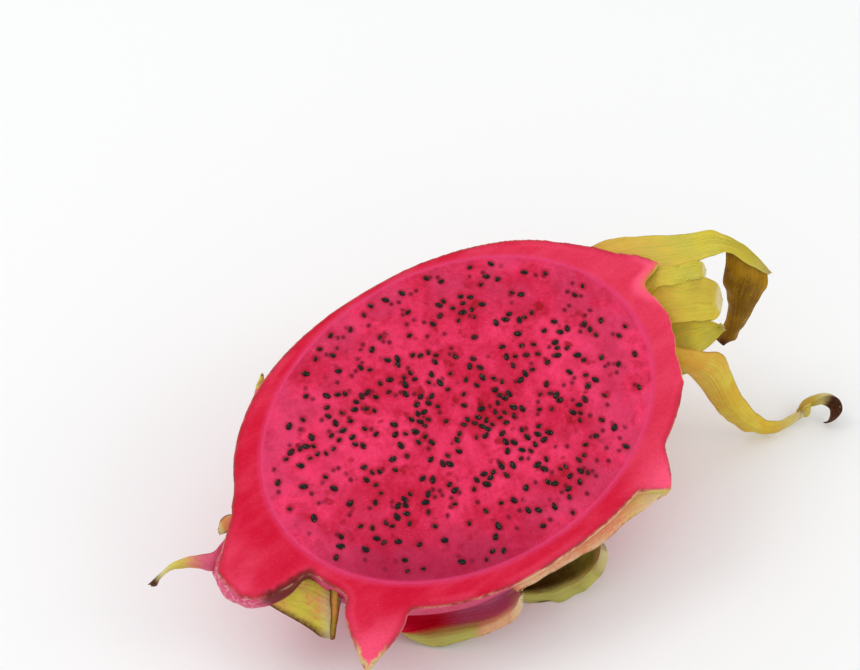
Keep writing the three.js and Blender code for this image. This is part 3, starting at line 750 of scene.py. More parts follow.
def past_crown():
    """A large block past the crown's ring, whose near face follows crown_edge and waves by about
    a millimetre."""
    middle, axis, side = end_axes(CROWN)
    reach = np.linspace(-60, 60, 121)
    across, high = (grid.ravel() for grid in np.meshgrid(reach, reach, indexing="ij"))
    face = middle + across[:, None] * side + high[:, None] * np.array([0, 0, 1.0])
    waves = 0.4 * ripple(face, 9, 81) + 0.3 * ripple(face, 3, 82)
    near = face + axis * (crown_edge(across, high) + waves)[:, None]
    vertices = np.vstack([near, face + 150 * axis])
    count = len(reach)
    front, edge = grid_faces(count - 1, count - 1)
    front = np.roll(front, -1, axis=1)   # so the other diagonal splits each quad
    following = np.roll(edge, -1)
    walls = np.stack([following, edge, edge + count**2, following + count**2], axis=-1)
    faces = front.tolist() + (front[:, ::-1] + count**2).tolist() + walls.tolist()
    return vertices, outward(vertices, faces)


def closest(points, samples):
    """For each point the distance to the closest sample, and that sample's number."""
    squares = (samples**2).sum(axis=1)
    distance, index = np.zeros(len(points)), np.zeros(len(points), int)
    chunk = 4000
    for first in range(0, len(points), chunk):
        part = points[first:first + chunk]
        gap = (part**2).sum(axis=1)[:, None] + squares[None] - 2 * part @ samples.T
        best = gap.argmin(axis=1)
        index[first:first + chunk] = best
        distance[first:first + chunk] = np.sqrt(np.maximum(gap[np.arange(len(part)), best], 0))
    return distance, index


def scale_marks(points):
    """How far up a scale each point lies, 0 on the skin to 1 at a tip, and how near its edge.
    A point's share along is its projection on the line from foot to tip, its share across is
    its distance from the scale's middle by the half width there, and it counts as scale as it
    rises from 0.2 to 1.4 mm above the skin."""
    tip, edge = np.zeros(len(points)), np.zeros(len(points))
    for spec in SCALES:
        near, far = (np.array(e) for e in scale_edges(**spec))
        middle = (near + far) / 2
        line = middle[-1] - middle[0]
        s = np.clip((points - middle[0]) @ line / (line @ line), 0, 1)
        steps = np.linspace(0, 1, SCALE_STEPS)
        centre = np.stack([np.interp(s, steps, middle[:, k]) for k in range(3)], axis=-1)
        half = scale_half(spec["width"], s)
        sideways = (points - centre) @ unit(far[0] - near[0])
        across = np.abs(sideways) / half
        at = spec["x"] + spec["length"] * s
        rise = points - skin_point(at, spec["around"])
        height = np.einsum("ij,ij->i", rise, skin_normal(at, spec["around"])) + 0.012 * sideways**2
        within = smooth(height, 0.2, 1.4) * smooth(-across, -1.6, -1.15)
        reached = (np.linalg.norm(points - centre, axis=1) < 1.3 * half + 4) * within
        tip = np.maximum(tip, reached * s)
        edge = np.where(reached * s >= tip - 1e-9, across * reached, edge)
    return tip, edge


def near_points(points, targets, near, far):
    """1 within near of any target, falling to 0 at far."""
    return smooth(-closest(points, np.array(targets, float))[0], -far, -near)


def make_peel():
    """Skin, ends and blades fused by a voxel remesh, relaxed where they meet, cut by the knife
    and at the crown, remeshed once more for an even cut face, and hollowed for the pulp."""
    radius = CROWN["radius"]
    crown_neck = round_end(CROWN, [(-22, 1), (-21, 12), (-9, radius), (-5.5, radius - 0.7),
                                   (-1.2, radius - 2.5), (3, radius - 5.1), (6, radius - 7), (7, 1)])
    stem_neck = round_end(STEM, [(-4, 1), (-3, 16.5), (4, 16), (12, 11.5), (18, 9), (18.5, 1)])
    blades = peel_blades()
    bodies = [skin_body(), crown_neck, stem_neck, knob()] + [b[:2] for b in blades]
    even = {"kind": "REMESH", "mode": "VOXEL", "voxel_size": settings().sizes.voxel / MM}
    vertices, normals, faces, edges = unpacked(modified(new_mesh("peel", *stacked(bodies)), **even))
    distance, index = closest(vertices, np.vstack([b[0][::4] for b in blades]))
    along = np.concatenate([b[2]["along"][::4] for b in blades])[index]
    joint = smooth(-distance, -6, -1) * smooth(-along, -0.45, -0.15)
    ends = smooth(-vertices[:, 0], 42, 50) + smooth(vertices[:, 0], 44, 52)
    vertices = relaxed(vertices, edges, 0.5 * np.clip(joint + ends, 0, 1), JOINT_ROUNDS)
    vertices += skin_wrinkles(vertices, normals)
    mesh = combined(new_mesh("peel", vertices, faces), "DIFFERENCE", *past_crown())
    mesh = modified(combined(mesh, "INTERSECT", *under_knife()), **even)
    vertices, _, faces, edges = unpacked(mesh)
    vertices = relaxed(vertices, edges, np.full(len(vertices), 0.5), FACE_ROUNDS)
    mesh = combined(new_mesh("peel", vertices, faces), "DIFFERENCE", *hollow())
    vertices, normals, faces, _ = unpacked(mesh)
    mesh = new_mesh("Peel", place(vertices), faces, peel_values(vertices, normals))
    peel = new_object("Peel", mesh)
    mesh.set_sharp_from_angle(angle=PEEL_CREASE)
    return peel


def skin_wrinkles(vertices, normals):
    """Small folds along the withered stem knob and round the crown's neck, as moves along the
    normals: ripples stretched four times along the fruit."""
    ends = smooth(-vertices[:, 0], 56, 62) + smooth(vertices[:, 0], 50, 60) * 0.6
    folds = ripple(vertices * (0.25, 1, 1), 3.2, 61) * 0.42 + ripple(vertices, 2.0, 62) * 0.12
    return normals * (folds * ends)[:, None]


def peel_values(vertices, normals):
    """Where on the fruit each vertex of the peel lies, for the finish."""
    share = face_share(vertices)
    under = knife_height(share) - vertices[:, 2]
    middle, axis, side = end_axes(CROWN)
    beside = (vertices - middle) @ side
    crownward = (vertices - middle) @ axis - crown_edge(beside, vertices[:, 2])
    cut = smooth(normals[:, 2], 0.5, 0.85) * smooth(-under, -1.2, -0.5)
    hem = vertices[(cut < 0.5) & (under < 1.2) & (share > 1.04) & (crownward < -1)]
    tip, edge = scale_marks(vertices)
    tips = [(-56, -41, 0), (-54.5, -39, -7), (36, -45, 0), (33.5, -44.5, -6)]
    knob_at = [(-64, -2, -3), (-68, -1, -6), (-66, 3, -4), (-62, 6, -4)]
    return {
        "cut": cut,
        "share": share,
        "under": under,
        "inset": np.where(cut > 0.05, closest(vertices, hem)[0], 0),
        "tip": tip,
        "edge": edge,
        "flush": smooth(crownward, -7, 0.5) * (1 - cut * smooth(-beside, -6, 6)),
        # The notch at the stem end: partly dried skin, partly painted shade.
        "scab": near_points(vertices, [(x, -11, -3.5) for x in (-62, -58, -54.5)], 2.5, 5.5),
        "point": near_points(vertices, tips, 2, 15),
        "bleached": near_points(vertices, [(x, -46, -3) for x in range(-8, 40, 3)], 5, 8),
        "knob": near_points(vertices, knob_at, 6, 15),
        "fruit": vertices,
    }


# Pulp and seeds

def random_numbers(start):
    """The Park and Miller generator: the same numbers from 0 to 1 each run."""
    state = start
    while True:
        state = (state * 16807) % 2147483647
        yield state / 2147483647


def seed_places():
    """Even seeds as a shower of points that keep apart, then clumps: each crowded seed lands
    close to an earlier one, sooner near the middle. Each is x, y, turn, size and veil, which is
    how far a thin film of pulp covers it."""
    seeds = settings().seeds
    numbers = random_numbers(seeds.start)
    places = []
    total = seeds.even + seeds.crowded
    while len(places) < total:
        even = len(places) < seeds.even
        share = SEED_REACH * math.sqrt(next(numbers))
        angle = 2 * math.pi * next(numbers)
        kept = next(numbers)
        turn = math.pi * next(numbers)
        x, y, _ = face_point(share * math.cos(angle), share * math.sin(angle))
        if not even:
            parent = places[int(share / SEED_REACH * len(places))]
            reach = CLUMP_REACH * (1 + share)
            x = parent[0] + reach * math.cos(angle)
            y = parent[1] + reach * math.sin(angle)
            share = float(face_share(np.array([x, y])))
        apart = seeds.apart / MM * (1 if even else CLUMP_GAP)
        far_enough = all(math.hypot(x - p[0], y - p[1]) > apart for p in places)
        if share < SEED_REACH and kept > (0.55 if even else 0.9) * share**2 and far_enough:
            places.append((x, y, turn))
    rng = np.random.default_rng(seeds.start)
    size = rng.uniform(0.7, 1.22, total)
    veil = np.clip(rng.normal(0.1, 0.3, total), 0, 1) * (rng.random(total) < 0.45)
    return np.column_stack([places, size, veil])


def sunken_places():
    """Seeds that lie under the face and only shimmer through it: x and y."""
    rng = np.random.default_rng(settings().seeds.start + 1)
    share = 0.94 * np.sqrt(rng.random(settings().seeds.sunken))
    angle = rng.uniform(0, 2 * np.pi, len(share))
    return face_point(share * np.cos(angle), share * np.sin(angle))[:, :2]


def pulp_height(points):
    """The face of the pulp: its dome, a fine sponge, and soft fibres that run outwards."""
    share = face_share(points)
    flat = points[..., :2]
    height = settings().sizes.pulp_dome / MM * (1 - share**2)
    height += 0.12 * ripple(flat, 8, 31) + 0.05 * ripple(flat, 2.6, 32)
    height += 0.03 * ripple(flat, 1.1, 33, 24)
    angle = np.arctan2(points[..., 1], points[..., 0])
    radial = np.stack([12 * angle, 1.2 * share], axis=-1)
    height += 0.05 * ripple(radial, 1.6, 34) * smooth(share, 0.2, 0.6)
    return height * (1 - smooth(share, 0.95, 1.0)) - 0.02 * smooth(share, 0.97, 1.0)


def grid_faces(long, wide):
    """The quads of a grid of long by wide cells, and its boundary in order."""
    columns = wide + 1
    i, j = np.meshgrid(np.arange(long), np.arange(wide), indexing="ij")
    a = (i * columns + j).ravel()
    boundary = np.concatenate([
        np.arange(long + 1) * columns, long * columns + np.arange(1, columns),
        (long - 1 - np.arange(long)) * columns + wide, wide - 1 - np.arange(wide - 1)])
    return np.stack([a, a + columns, a + columns + 1, a + 1], axis=-1), boundary


def make_pulp(places):
    """A fine grid bent to the oval face, u sqrt(1 - v^2 / 2) by v sqrt(1 - u^2 / 2), under
    pulp_height, with a low collar of flesh round every seed, closed below by rings of the bowl."""
    long, wide = FACE_CELLS
    u, v = np.meshgrid(np.linspace(-1, 1, long + 1), np.linspace(-1, 1, wide + 1), indexing="ij")
    u, v = (u * np.sqrt(1 - v**2 / 2)).ravel(), (v * np.sqrt(1 - u**2 / 2)).ravel()
    faces, boundary = grid_faces(long, wide)
    face = face_point(u, v)
    near, sunken = (np.minimum(FAR_OFF, closest(face[:, :2], spots)[0])
                    for spots in (places[:, :2], sunken_places()))
    face[:, 2] = pulp_height(face) + 0.09 * np.exp(-((near - 1.0) / 0.4) ** 2)
    face[:, 2] -= 0.12 * np.exp(-(near / 0.7) ** 2)
    bowl = pulp_points(np.linspace(0.02, 0.97, 12), np.arctan2(v[boundary], u[boundary]), 0, FACE_MIDDLE)
    count, sides = bowl.shape[:2]
    first = len(face)
    rings = np.vstack([boundary, first + np.arange(count * sides).reshape(-1, sides)])
    following = np.roll(rings, -1, axis=1)
    walls = np.stack([rings[:-1], rings[1:], following[1:], following[:-1]], axis=-1)
    fan = np.stack([rings[-1], 0 * rings[-1] + first + count * sides, following[-1]], axis=-1)
    deep = pulp_points(np.array([1.0]), np.array([0.0]), 0, FACE_MIDDLE)
    vertices = np.vstack([face, bowl.reshape(-1, 3), deep.reshape(-1, 3)])
    faces = outward(vertices, faces.tolist() + walls.reshape(-1, 4).tolist() + fan.tolist())
    hidden = np.full(len(vertices) - first, FAR_OFF)
    values = {"fruit": vertices, "share": face_share(vertices),
              "near_seed": np.concatenate([near, hidden]),
              "near_sunken": np.concatenate([sunken, hidden])}
    return new_object("Pulp", new_mesh("Pulp", place(vertices), faces, values))


def make_seeds(places):
    """Small balls blunter at one end, flattened, turned and sunk in the pulp, all in one mesh."""
    seeds = settings().seeds
    drop, one = ball(5, 8, (seeds.length / MM, seeds.width / MM, SEED_THICK), blunt=0.22)
    height = pulp_height(np.column_stack([places[:, :2], 0 * places[:, 0]]))
    x0, y0, turn, size, veil = (places[:, k, None] for k in range(5))
    c, s = np.cos(turn), np.sin(turn)
    x = x0 + (drop[:, 0] * c - drop[:, 1] * s) * size
    y = y0 + (drop[:, 0] * s + drop[:, 1] * c) * size
    z = drop[:, 2] * size + height[:, None] - 0.1 - 0.22 * veil
    vertices = np.stack([x, y, z], axis=-1).reshape(-1, 3)
    count = len(drop)
    faces = [[k * count + corner for corner in face] for k in range(len(places)) for face in one]
    values = {"fruit": vertices, "veil": np.repeat(places[:, 4], count)}
    return new_object("Seeds", new_mesh("Seeds", place(vertices), faces, values))


# Crown and dry tips

def leaf_mesh(name, specs, core=None, first_seed=40):
    """Several blades, and perhaps a plain core that counts as leaf feet, as one mesh."""
    parts = [blade(**{"steps": 64, "across": 16, "seed": first_seed + k, **spec})
             for k, spec in enumerate(specs)]
    if core:
        plain = {"along": 0.15, "across": 0.5, **LOOKS}
        parts.append((*core, {key: np.full(len(core[0]), value) for key, value in plain.items()}))
    vertices, faces = stacked([part[:2] for part in parts])
    values = {key: np.concatenate([part[2][key] for part in parts]) for key in parts[0][2]}
    values["fruit"] = vertices
    values["leaf"] = np.repeat(np.arange(float(len(parts))), [len(part[0]) for part in parts])
    thing = new_object(name, new_mesh(name, place(vertices), faces, values))
    thing.data.set_sharp_from_angle(angle=LEAF_CREASE)
    return thing


def make_crown():
    """The leaves round a short core that stands on the crown's ring, below the leaves."""
    radius = CROWN["radius"]
    core = new_mesh("core", *round_end(CROWN, [
        (-1.5, 1), (-1.4, radius - 3.6), (3, radius - 5.5), (9, radius - 9), (15, 1)]))
    below = np.array([[x, y, z] for z in (-FAR_BELOW, -10) for x, y in
                      ((-300, -300), (300, -300), (300, 300), (-300, 300))])
    box_faces = [[0, 3, 2, 1], [4, 5, 6, 7], [0, 1, 5, 4], [1, 2, 6, 5], [2, 3, 7, 6], [3, 0, 4, 7]]
    vertices, _, faces, _ = unpacked(combined(core, "INTERSECT", below, outward(below, box_faces)))
    return leaf_mesh("Leaf_tuft", LEAVES, (vertices, faces))


# Shader maths

class Wire:
    """An output socket of a finish. Sums, products and the like of wires add Math nodes."""

    def __init__(self, finish, socket):
        self.finish = finish
        self.socket = socket

    def math(self, operation, *values):
        return self.finish.node("ShaderNodeMath", {"operation": operation},
                                dict(enumerate((self, *values))))

    def __add__(self, other):
        return self.math("ADD", other)

    def __sub__(self, other):
        return self.math("SUBTRACT", other)

    def __mul__(self, other):
        return self.math("MULTIPLY", other)

    def __rsub__(self, other):
        return self * -1 + other

    __radd__ = __add__
    __rmul__ = __mul__

    def rise(self, low, high):
        """0 at low, 1 at high, with a smooth step between; low may be the higher."""
        return self.finish.node("ShaderNodeMapRange", {"interpolation_type": "SMOOTHSTEP"},
                                {"Value": self, "From Min": low, "From Max": high})


class Finish:
    """A material under construction, with one Principled shader."""

    def __init__(self, name, **constants):
        self.material = bpy.data.materials.new(name)
        self.material.use_nodes = True
        self.tree = self.material.node_tree
        self.give(**constants)

    def node(self, kind, options, inputs, output=0):
        """Adds a node: first its settings, then the values or links of its inputs."""
        made = self.tree.nodes.new(kind)
        for key, value in options.items():
            setattr(made, key, value)
        for key, value in inputs.items():
            self.feed(made.inputs[key], value)
        return Wire(self, made.outputs[output])

    def feed(self, socket, value):
        """Links a wire to a socket, or sets a number, vector or colour on it."""
        if isinstance(value, Wire):
            self.tree.links.new(value.socket, socket)
        elif isinstance(value, (int, float)):
            socket.default_value = value
        else:
            socket.default_value = (*value, 1.0)[:len(socket.default_value)]

    def give(self, **inputs):
        """Links wires or values to the shader's own inputs."""
        for key, value in inputs.items():
            self.feed(self.tree.nodes["Principled BSDF"].inputs[key.replace("_", " ")], value)

    def attributes(self, *names, output="Fac"):
        return [self.node("ShaderNodeAttribute", {"attribute_name": name}, {}, output)
                for name in names]

    def place(self):
        """Where on the fruit a point lies, in millimetres in the fruit's own axes."""
        return self.attributes("fruit", output="Vector")[0]

    def axis(self, vector, number):
        return self.node("ShaderNodeSeparateXYZ", {}, {"Vector": vector}, number)

    def vector(self, *values):
        return self.node("ShaderNodeCombineXYZ", {}, dict(enumerate(values)))

    def noise(self, vector, scale, detail=2.0, roughness=0.5, distortion=0.0):
        return self.node("ShaderNodeTexNoise", {}, {
            "Vector": vector, "Scale": scale, "Detail": detail, "Roughness": roughness,
            "Distortion": distortion})

    def stretched(self, vector, scale, turn=0.0):
        """The vector scaled along each axis, after a turn about z."""
        return self.node("ShaderNodeMapping", {}, {
            "Vector": vector, "Rotation": (0, 0, turn), "Scale": scale})

    def layers(self, base, *coats):
        """A colour under coats of (factor, colour), each mixed over what lies below it. The mix
        node takes its colours at the inputs 6 and 7 and gives one at its output 2."""
        for factor, colour in coats:
            base = self.node("ShaderNodeMix", {"data_type": "RGBA"}, {0: factor, 6: base, 7: colour}, 2)
        return base

    def bump(self, height, distance, strength, *normal):
        inputs = dict(zip(("Height", "Distance", "Strength", "Normal"),
                          (height, distance, strength, *normal)))
        return self.node("ShaderNodeBump", {}, inputs)


def peel_finish():
    """Waxy pink skin with fine pale specks, yellow-green brown-edged scales, and the cut rind.
    Painted highlight lies on the stem's wrinkles, at the rind's cut points and outer edge and as
    specks on the rind; painted shade lies inside the rind's outer edge and in the notch.
    """
    tint = settings().colours
    finish = Finish("Peel finish", IOR=1.42, Specular_IOR_Level=0.13, Subsurface_Weight=0.2,
                    Subsurface_Scale=0.003, Subsurface_Radius=(1.0, 0.25, 0.3))
    fruit = finish.place()
    cut, share, under, inset = finish.attributes("cut", "share", "under", "inset")
    tip, edge, flush, point = finish.attributes("tip", "edge", "flush", "point")
    scab, bleached, stem_knob = finish.attributes("scab", "bleached", "knob")
    x = finish.axis(fruit, 0)
    cloud = finish.noise(fruit, 0.06, 3)
    patch = finish.noise(fruit, 0.32, 4, 0.6)
    fine = finish.noise(fruit, 1.5, 4, 0.65)
    uneven, gritty = patch - 0.5, fine - 0.5
    speck = finish.noise(fruit, 2.2).rise(0.54, 0.68)
    folds = finish.noise(finish.stretched(fruit, (0.3, 1.1, 1.1)), 1.0, 3)
    green = tip + uneven * 0.22 + gritty * 0.08
    dry = (edge + tip * 0.25 + tip.rise(0.75, 1.0) * 0.4 + gritty * 0.35).rise(1.0, 1.22)
    hem = 1 - (under + uneven * 0.8).rise(0.2, 0.9)
    skin = finish.layers(
        tint.skin,
        (cloud.rise(0.3, 0.75) * 0.4, tint.skin_light),
        (speck * 0.4, tint.skin_light),
        (stem_knob * (0.35 + fine.rise(0.4, 0.65) * 0.5), tint.knob),
        # Painted highlight: whitish streaks along the stem knob's wrinkles.
        (stem_knob * folds.rise(0.52, 0.66) * 0.5, tint.wrinkle_highlight),
        (green.rise(0.1, 0.42) * tip.rise(0, 0.08), tint.flush),
        (green.rise(0.34, 0.62), tint.scale),
        (green.rise(0.5, 1.0) * patch.rise(0.4, 0.6) * 0.7, tint.scale_edge),
        ((flush + uneven * 0.3).rise(0.1, 0.6), tint.flush),
        ((flush + uneven * 0.2).rise(0.5, 0.9), tint.leaf),
        # Partly red-brown dried skin, partly painted shade in the notch.
        (scab * (patch + 0.2).rise(0.4, 0.6) * 0.9, tint.scab),
        (bleached * (1 - under.rise(3, 6)) * (0.6 + patch.rise(0.4, 0.6) * 0.4), tint.bleached),
        (bleached * fine.rise(0.5, 0.7) * 0.5, tint.leaf_warm),
        (point * patch.rise(0.35, 0.55) * 0.8, tint.scale),
        (dry * tip.rise(0.1, 0.3), tint.dry),
        (hem * 0.7, finish.layers(tint.dry_skin, (patch.rise(0.4, 0.6), tint.bleached))))

    streaks = finish.noise(finish.stretched(fruit, (0.05, 0.16, 0.1), 0.5), 1.0, 3, 0.6)
    # Painted highlight: tiny pale specks for sparkle on the wet rind.
    sparkle = finish.noise(fruit, 4.5).rise(0.6, 0.74)
    border = 1 - (inset + uneven * 1.2).rise(0.2, 0.9)
    left_point = point.rise(0.35, 0.8) * x.rise(0, -20)
    rind = finish.layers(
        tint.rind,
        (streaks.rise(0.35, 0.75) * 0.26, tint.rind_pale_and_highlight),
        # Lighter towards the outer edge and at the cut points: partly the paler cut flesh of the scales,
        # partly painted highlight.
        (share.rise(1.08, 1.35) * cloud.rise(0.4, 0.6) * 0.5, tint.rind_pale_and_highlight),
        (point * 0.9, tint.rind_pale_and_highlight),
        (x.rise(10, 60) * 0.3, tint.rind_pale_and_highlight),
        (sparkle * 0.22, tint.pulp_glint),
        (inset.rise(3.0, 1.0) * cloud.rise(0.55, 0.4) * 0.35, tint.rind_pale_and_highlight),
        (fine.rise(0.4, 0.75) * 0.25, tint.rind_deep_and_shade),
        ((1 - share.rise(1.0, 1.03)) * 0.45, tint.pulp_edge),
        (flush.rise(0.05, 0.6) * 0.8, tint.rind_pale_and_highlight),
        ((flush + uneven * 0.4).rise(0.5, 1.05) * 0.75, tint.flush),
        ((flush + uneven * 0.3).rise(0.9, 1.1) * 0.8, tint.leaf_warm),
        # Painted shade: a darker band just inside the rind's outer edge, except at the cut points.
        ((1 - inset.rise(0.5, 2.2)) * (1 - point) * 0.5, tint.rind_deep_and_shade),
        (border * 0.55, tint.dry_skin),
        (left_point * (1 - (inset + uneven * 2.2).rise(0.4, 1.4)) * 0.85,
         finish.layers(tint.lip, (fine.rise(0.4, 0.6), tint.cream))),
        # The rind's margin at the notch: partly dried skin, partly painted shade.
        (scab * (1 - (inset + uneven * 2).rise(0.6, 2.2)) * 0.9, tint.scab))
    finish.give(
        Base_Color=finish.layers(skin, (cut, rind)),
        Roughness=finish.noise(fruit, 0.8, 3) * 0.24 + 0.3 - cut * 0.04 + green * 0.1,
        Normal=finish.bump(patch, 0.0007, 0.45, finish.bump(fine, 0.00016, 0.6)))
    return finish.material


def pulp_finish():
    """Wet magenta pulp: pale and deep patches, radial fibres, red spots, sunken seeds, a pale
    line round the edge, painted highlight specks and painted shade along the front left edge."""
    tint = settings().colours
    finish = Finish("Pulp finish", IOR=1.38, Specular_IOR_Level=0.17, Subsurface_Weight=0.25,
                    Subsurface_Scale=0.0025, Subsurface_Radius=(1.0, 0.2, 0.32))
    fruit = finish.place()
    share, near_seed, near_sunken = finish.attributes("share", "near_seed", "near_sunken")
    cloud = finish.noise(fruit, 0.05, 4, 0.6, 0.8)
    blot = finish.noise(fruit, 0.2, 4, 0.65, 0.4)
    fine = finish.noise(fruit, 0.9, 4, 0.7)
    gritty = fine - 0.5
    fibres = finish.noise(finish.stretched(fruit, (0.03, 0.35, 0.1), 0.35), 1.0, 3)
    veil = finish.noise(fruit, 0.075, 3, 0.55, 0.5).rise(0.4, 0.6) * share.rise(0.5, 0.9)
    spots = finish.noise(fruit, 0.24, 2, 0.4).rise(0.62, 0.72) * (1 - share.rise(0.7, 0.95))
    # Painted highlight: tiny pale specks for glints on the wet pulp.
    glints = finish.noise(fruit, 3.2).rise(0.62, 0.74) * blot.rise(0.6, 0.4)
    shimmer = (1 - (near_sunken + gritty * 0.9).rise(0.15, 1.05)) * 0.9
    halo = 1 - (near_seed + gritty * 0.6).rise(0.6, 1.7)
    # Painted shade: the pulp darkens towards its front left edge, which faces away from the light.
    front_left_shade = finish.axis(fruit, 0).rise(12, -22) * finish.axis(fruit, 1).rise(-2, -24)
    pulp = finish.layers(
        tint.pulp,
        (cloud.rise(0.35, 0.65), tint.pulp_light),
        (fibres.rise(0.5, 0.75) * 0.35, tint.pulp_light),
        (blot.rise(0.42, 0.7) * 0.6, tint.pulp_deep),
        (veil * 0.5, tint.pulp_veil),
        (spots * 0.8, tint.pulp_spot),
        (fine.rise(0.5, 0.8) * 0.35, tint.pulp_deep),
        (fine.rise(0.5, 0.25) * 0.4, tint.pulp_light),
        (glints * 0.5, tint.pulp_glint),
        (shimmer * blot.rise(0.3, 0.5), tint.sunken),
        (halo * 0.6, tint.pulp_spot),
        # Painted shade along the front left edge.
        (front_left_shade * share.rise(0.62, 0.95) * 0.7, tint.pulp_shade),
        (share.rise(0.975, 0.998) * 0.8, tint.pulp_edge))
    wet = finish.bump(fine, 0.0005, 0.4)
    finish.give(Base_Color=pulp, Roughness=0.4 - fine.rise(0.4, 0.7) * 0.2,
                Normal=finish.bump(finish.noise(fruit, 2.4, 3), 0.0002, 0.4, wet))
    return finish.material


def seed_finish():
    """Glossy black with greyish specks of painted highlight, redder where a film of pulp covers the
    seed.
    """
    tint = settings().colours
    finish = Finish("Seed finish", IOR=1.5, Specular_IOR_Level=0.2)
    fruit = finish.place()
    veil, = finish.attributes("veil")
    finish.give(
        Base_Color=finish.layers(
            tint.seed,
            # Painted highlight: greyish glint specks.
            (finish.noise(fruit, 2.4, 3, 0.6).rise(0.58, 0.68) * 0.8, tint.glint),
            (veil * 0.9 + finish.noise(fruit, 1.2).rise(0.55, 0.8) * 0.15, tint.sunken)),
        Roughness=finish.noise(fruit, 2.0) * 0.2 + 0.16)
    return finish.material


def leaf_finish(name):
    """Dull yellow-green leaf: long veins, warm patches, orange foot, olive inner side that is partly
    painted shade with golden patches partly painted sheen, a hollow painted dark as shade, and
    brown edges and tip."""
    tint = settings().colours
    finish = Finish(name, IOR=1.42, Specular_IOR_Level=0.2, Subsurface_Weight=0.12,
                    Subsurface_Scale=0.002, Subsurface_Radius=(1.0, 0.7, 0.2))
    fruit = finish.place()
    along, across, leaf, dry_from = finish.attributes("along", "across", "leaf", "dry")
    tone, warm, blush, pale = finish.attributes("tone", "warm", "blush", "pale")
    pit, pit_pink, browned, ledge = finish.attributes("pit", "pit_pink", "browned", "ledge")
    veins = finish.noise(finish.vector(across * 18.0, along * 2.4, leaf * 7.0), 1.0, 3, 0.6)
    threads = finish.noise(finish.vector(across * 55.0, along * 4.0, leaf * 5.0), 1.0)
    blotch = finish.noise(fruit, 0.13, 4, 0.6)
    fine = finish.noise(fruit, 1.1, 4, 0.65)
    veined, uneven, gritty = veins - 0.5, blotch - 0.5, fine - 0.5
    foot = 1 - (along + veined * 0.5 + uneven * 0.2).rise(0.12, 0.45)
    # Olive inner side: partly the dry leaf's own colour, partly painted shade; its golden patches are
    # partly painted sheen.
    inner = finish.layers(
        tint.leaf_under_and_shade,
        ((blotch + veined * 0.5).rise(0.35, 0.65), tint.leaf_gold_and_sheen),
        (fine.rise(0.55, 0.75) * 0.6, tint.dry))
    peach = finish.layers(tint.bleached, (fine.rise(0.3, 0.8) * 0.6, tint.flush))
    peachy = pit * (along + uneven * 0.8).rise(0.3, 0.6) * (pit_pink * 0.8 + 0.1)
    # Painted shade: the cup flap's hollow is coloured dark, greener further along; the lower flap's
    # hollow is pink, and red near its start.
    depth = finish.layers(
        tint.pit,
        ((along + uneven * 0.5).rise(0.4, 0.8), tint.scale_edge),
        (pit_pink, tint.pit_pink),
        (pit_pink * (1 - along.rise(0.2, 0.4)), tint.rind))
    inwards = across + gritty * 0.06 - along.rise(0.6, 1.0) * 0.12
    shelf = finish.layers(
        tint.bleached,
        ((fine + uneven).rise(0.4, 0.7) * 0.6, tint.flush),
        ((1 - across.rise(0.7, 0.95)) * 0.5, tint.flush),
        (along.rise(0.6, 0.9) * blotch.rise(0.3, 0.6), tint.leaf))
    rim = (across - 0.5).math("ABSOLUTE") + gritty * 0.07
    patchy = (blotch + 0.1 + browned * 0.3).rise(0.4, 0.65) * (0.45 + browned * 0.5)
    ends = (along - 0.5).math("ABSOLUTE") + gritty * 0.06
    ageing = along - dry_from + uneven * 0.25
    withered = finish.layers(
        tint.dry,
        (fine.rise(0.4, 0.65) * 0.55, tint.dry_skin),
        (blotch.rise(0.5, 0.6) * fine.rise(0.48, 0.56), tint.cream))
    base = finish.layers(
        tint.leaf,
        (blotch.rise(0.35, 0.65) * 0.75, tint.scale),
        (veins.rise(0.42, 0.7) * 0.35, tint.scale_edge),
        (threads.rise(0.6, 0.72) * 0.3, tint.flush),
        ((fine - 0.1).rise(0.42, 0.7) * 0.3, tint.leaf_warm),
        (warm * blotch.rise(0.35, 0.6) * 0.65, tint.leaf_warm),
        (foot * 0.3, tint.flush),
        (pit * 0.8, tint.lip),
        (blush * (1 - (along + gritty * 0.3).rise(0.2, 0.55)), tint.knob),
        (tone, inner),
        (browned * (fine * 0.6 + blotch * 0.9).rise(0.7, 0.95) * 0.7, tint.flush),
        (peachy, peach),
        # The flaps' hollow sides, painted dark as shade on the cup flap.
        (pit * (1 - inwards.rise(0.62, 0.76)), depth),
        (ledge, shelf),
        (pale * (along + gritty * 0.08).rise(0.9, 0.97), tint.cream),
        (rim.rise(0.475 - browned * 0.15, 0.5) * patchy,
         finish.layers(tint.dry_skin, (fine.rise(0.35, 0.6), tint.dry))),
        (browned * ends.rise(0.4, 0.47), tint.dry_skin),
        (ageing.rise(-0.25, 0.0) * (1 - tone) * 0.7, tint.cream),
        (ageing.rise(-0.04, 0.1), withered))
    ridges = finish.bump(veins, 0.0008, 0.6)
    finish.give(Base_Color=base, Roughness=fine * 0.25 + 0.4,
                Normal=finish.bump(finish.noise(fruit, 1.5, 3), 0.0003, 0.45, ridges))
    return finish.material


def table_finish():
    """Plain white studio table with the faintest tone."""
    return Finish("Table finish", Roughness=0.75, Base_Color=settings().stage.table).material


# Operators

def dress(piece, material, slot_name, *nodes):
    """Gives a piece its finish and the one body; some stand for a frame node. slot_name is not used."""
    piece.data.materials.append(material)
    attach(piece, "root")
    if nodes:
        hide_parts(*nodes)


class AddPeel(bpy.types.Operator):
    """Adds the peel: skin with its scales, cut points, rim and hollow."""

    bl_idname = "dragon_fruit.peel"
    bl_label = "Peel"

    def execute(self, context):
        dress(make_peel(), peel_finish(), "peel", "peel")
        return {"FINISHED"}


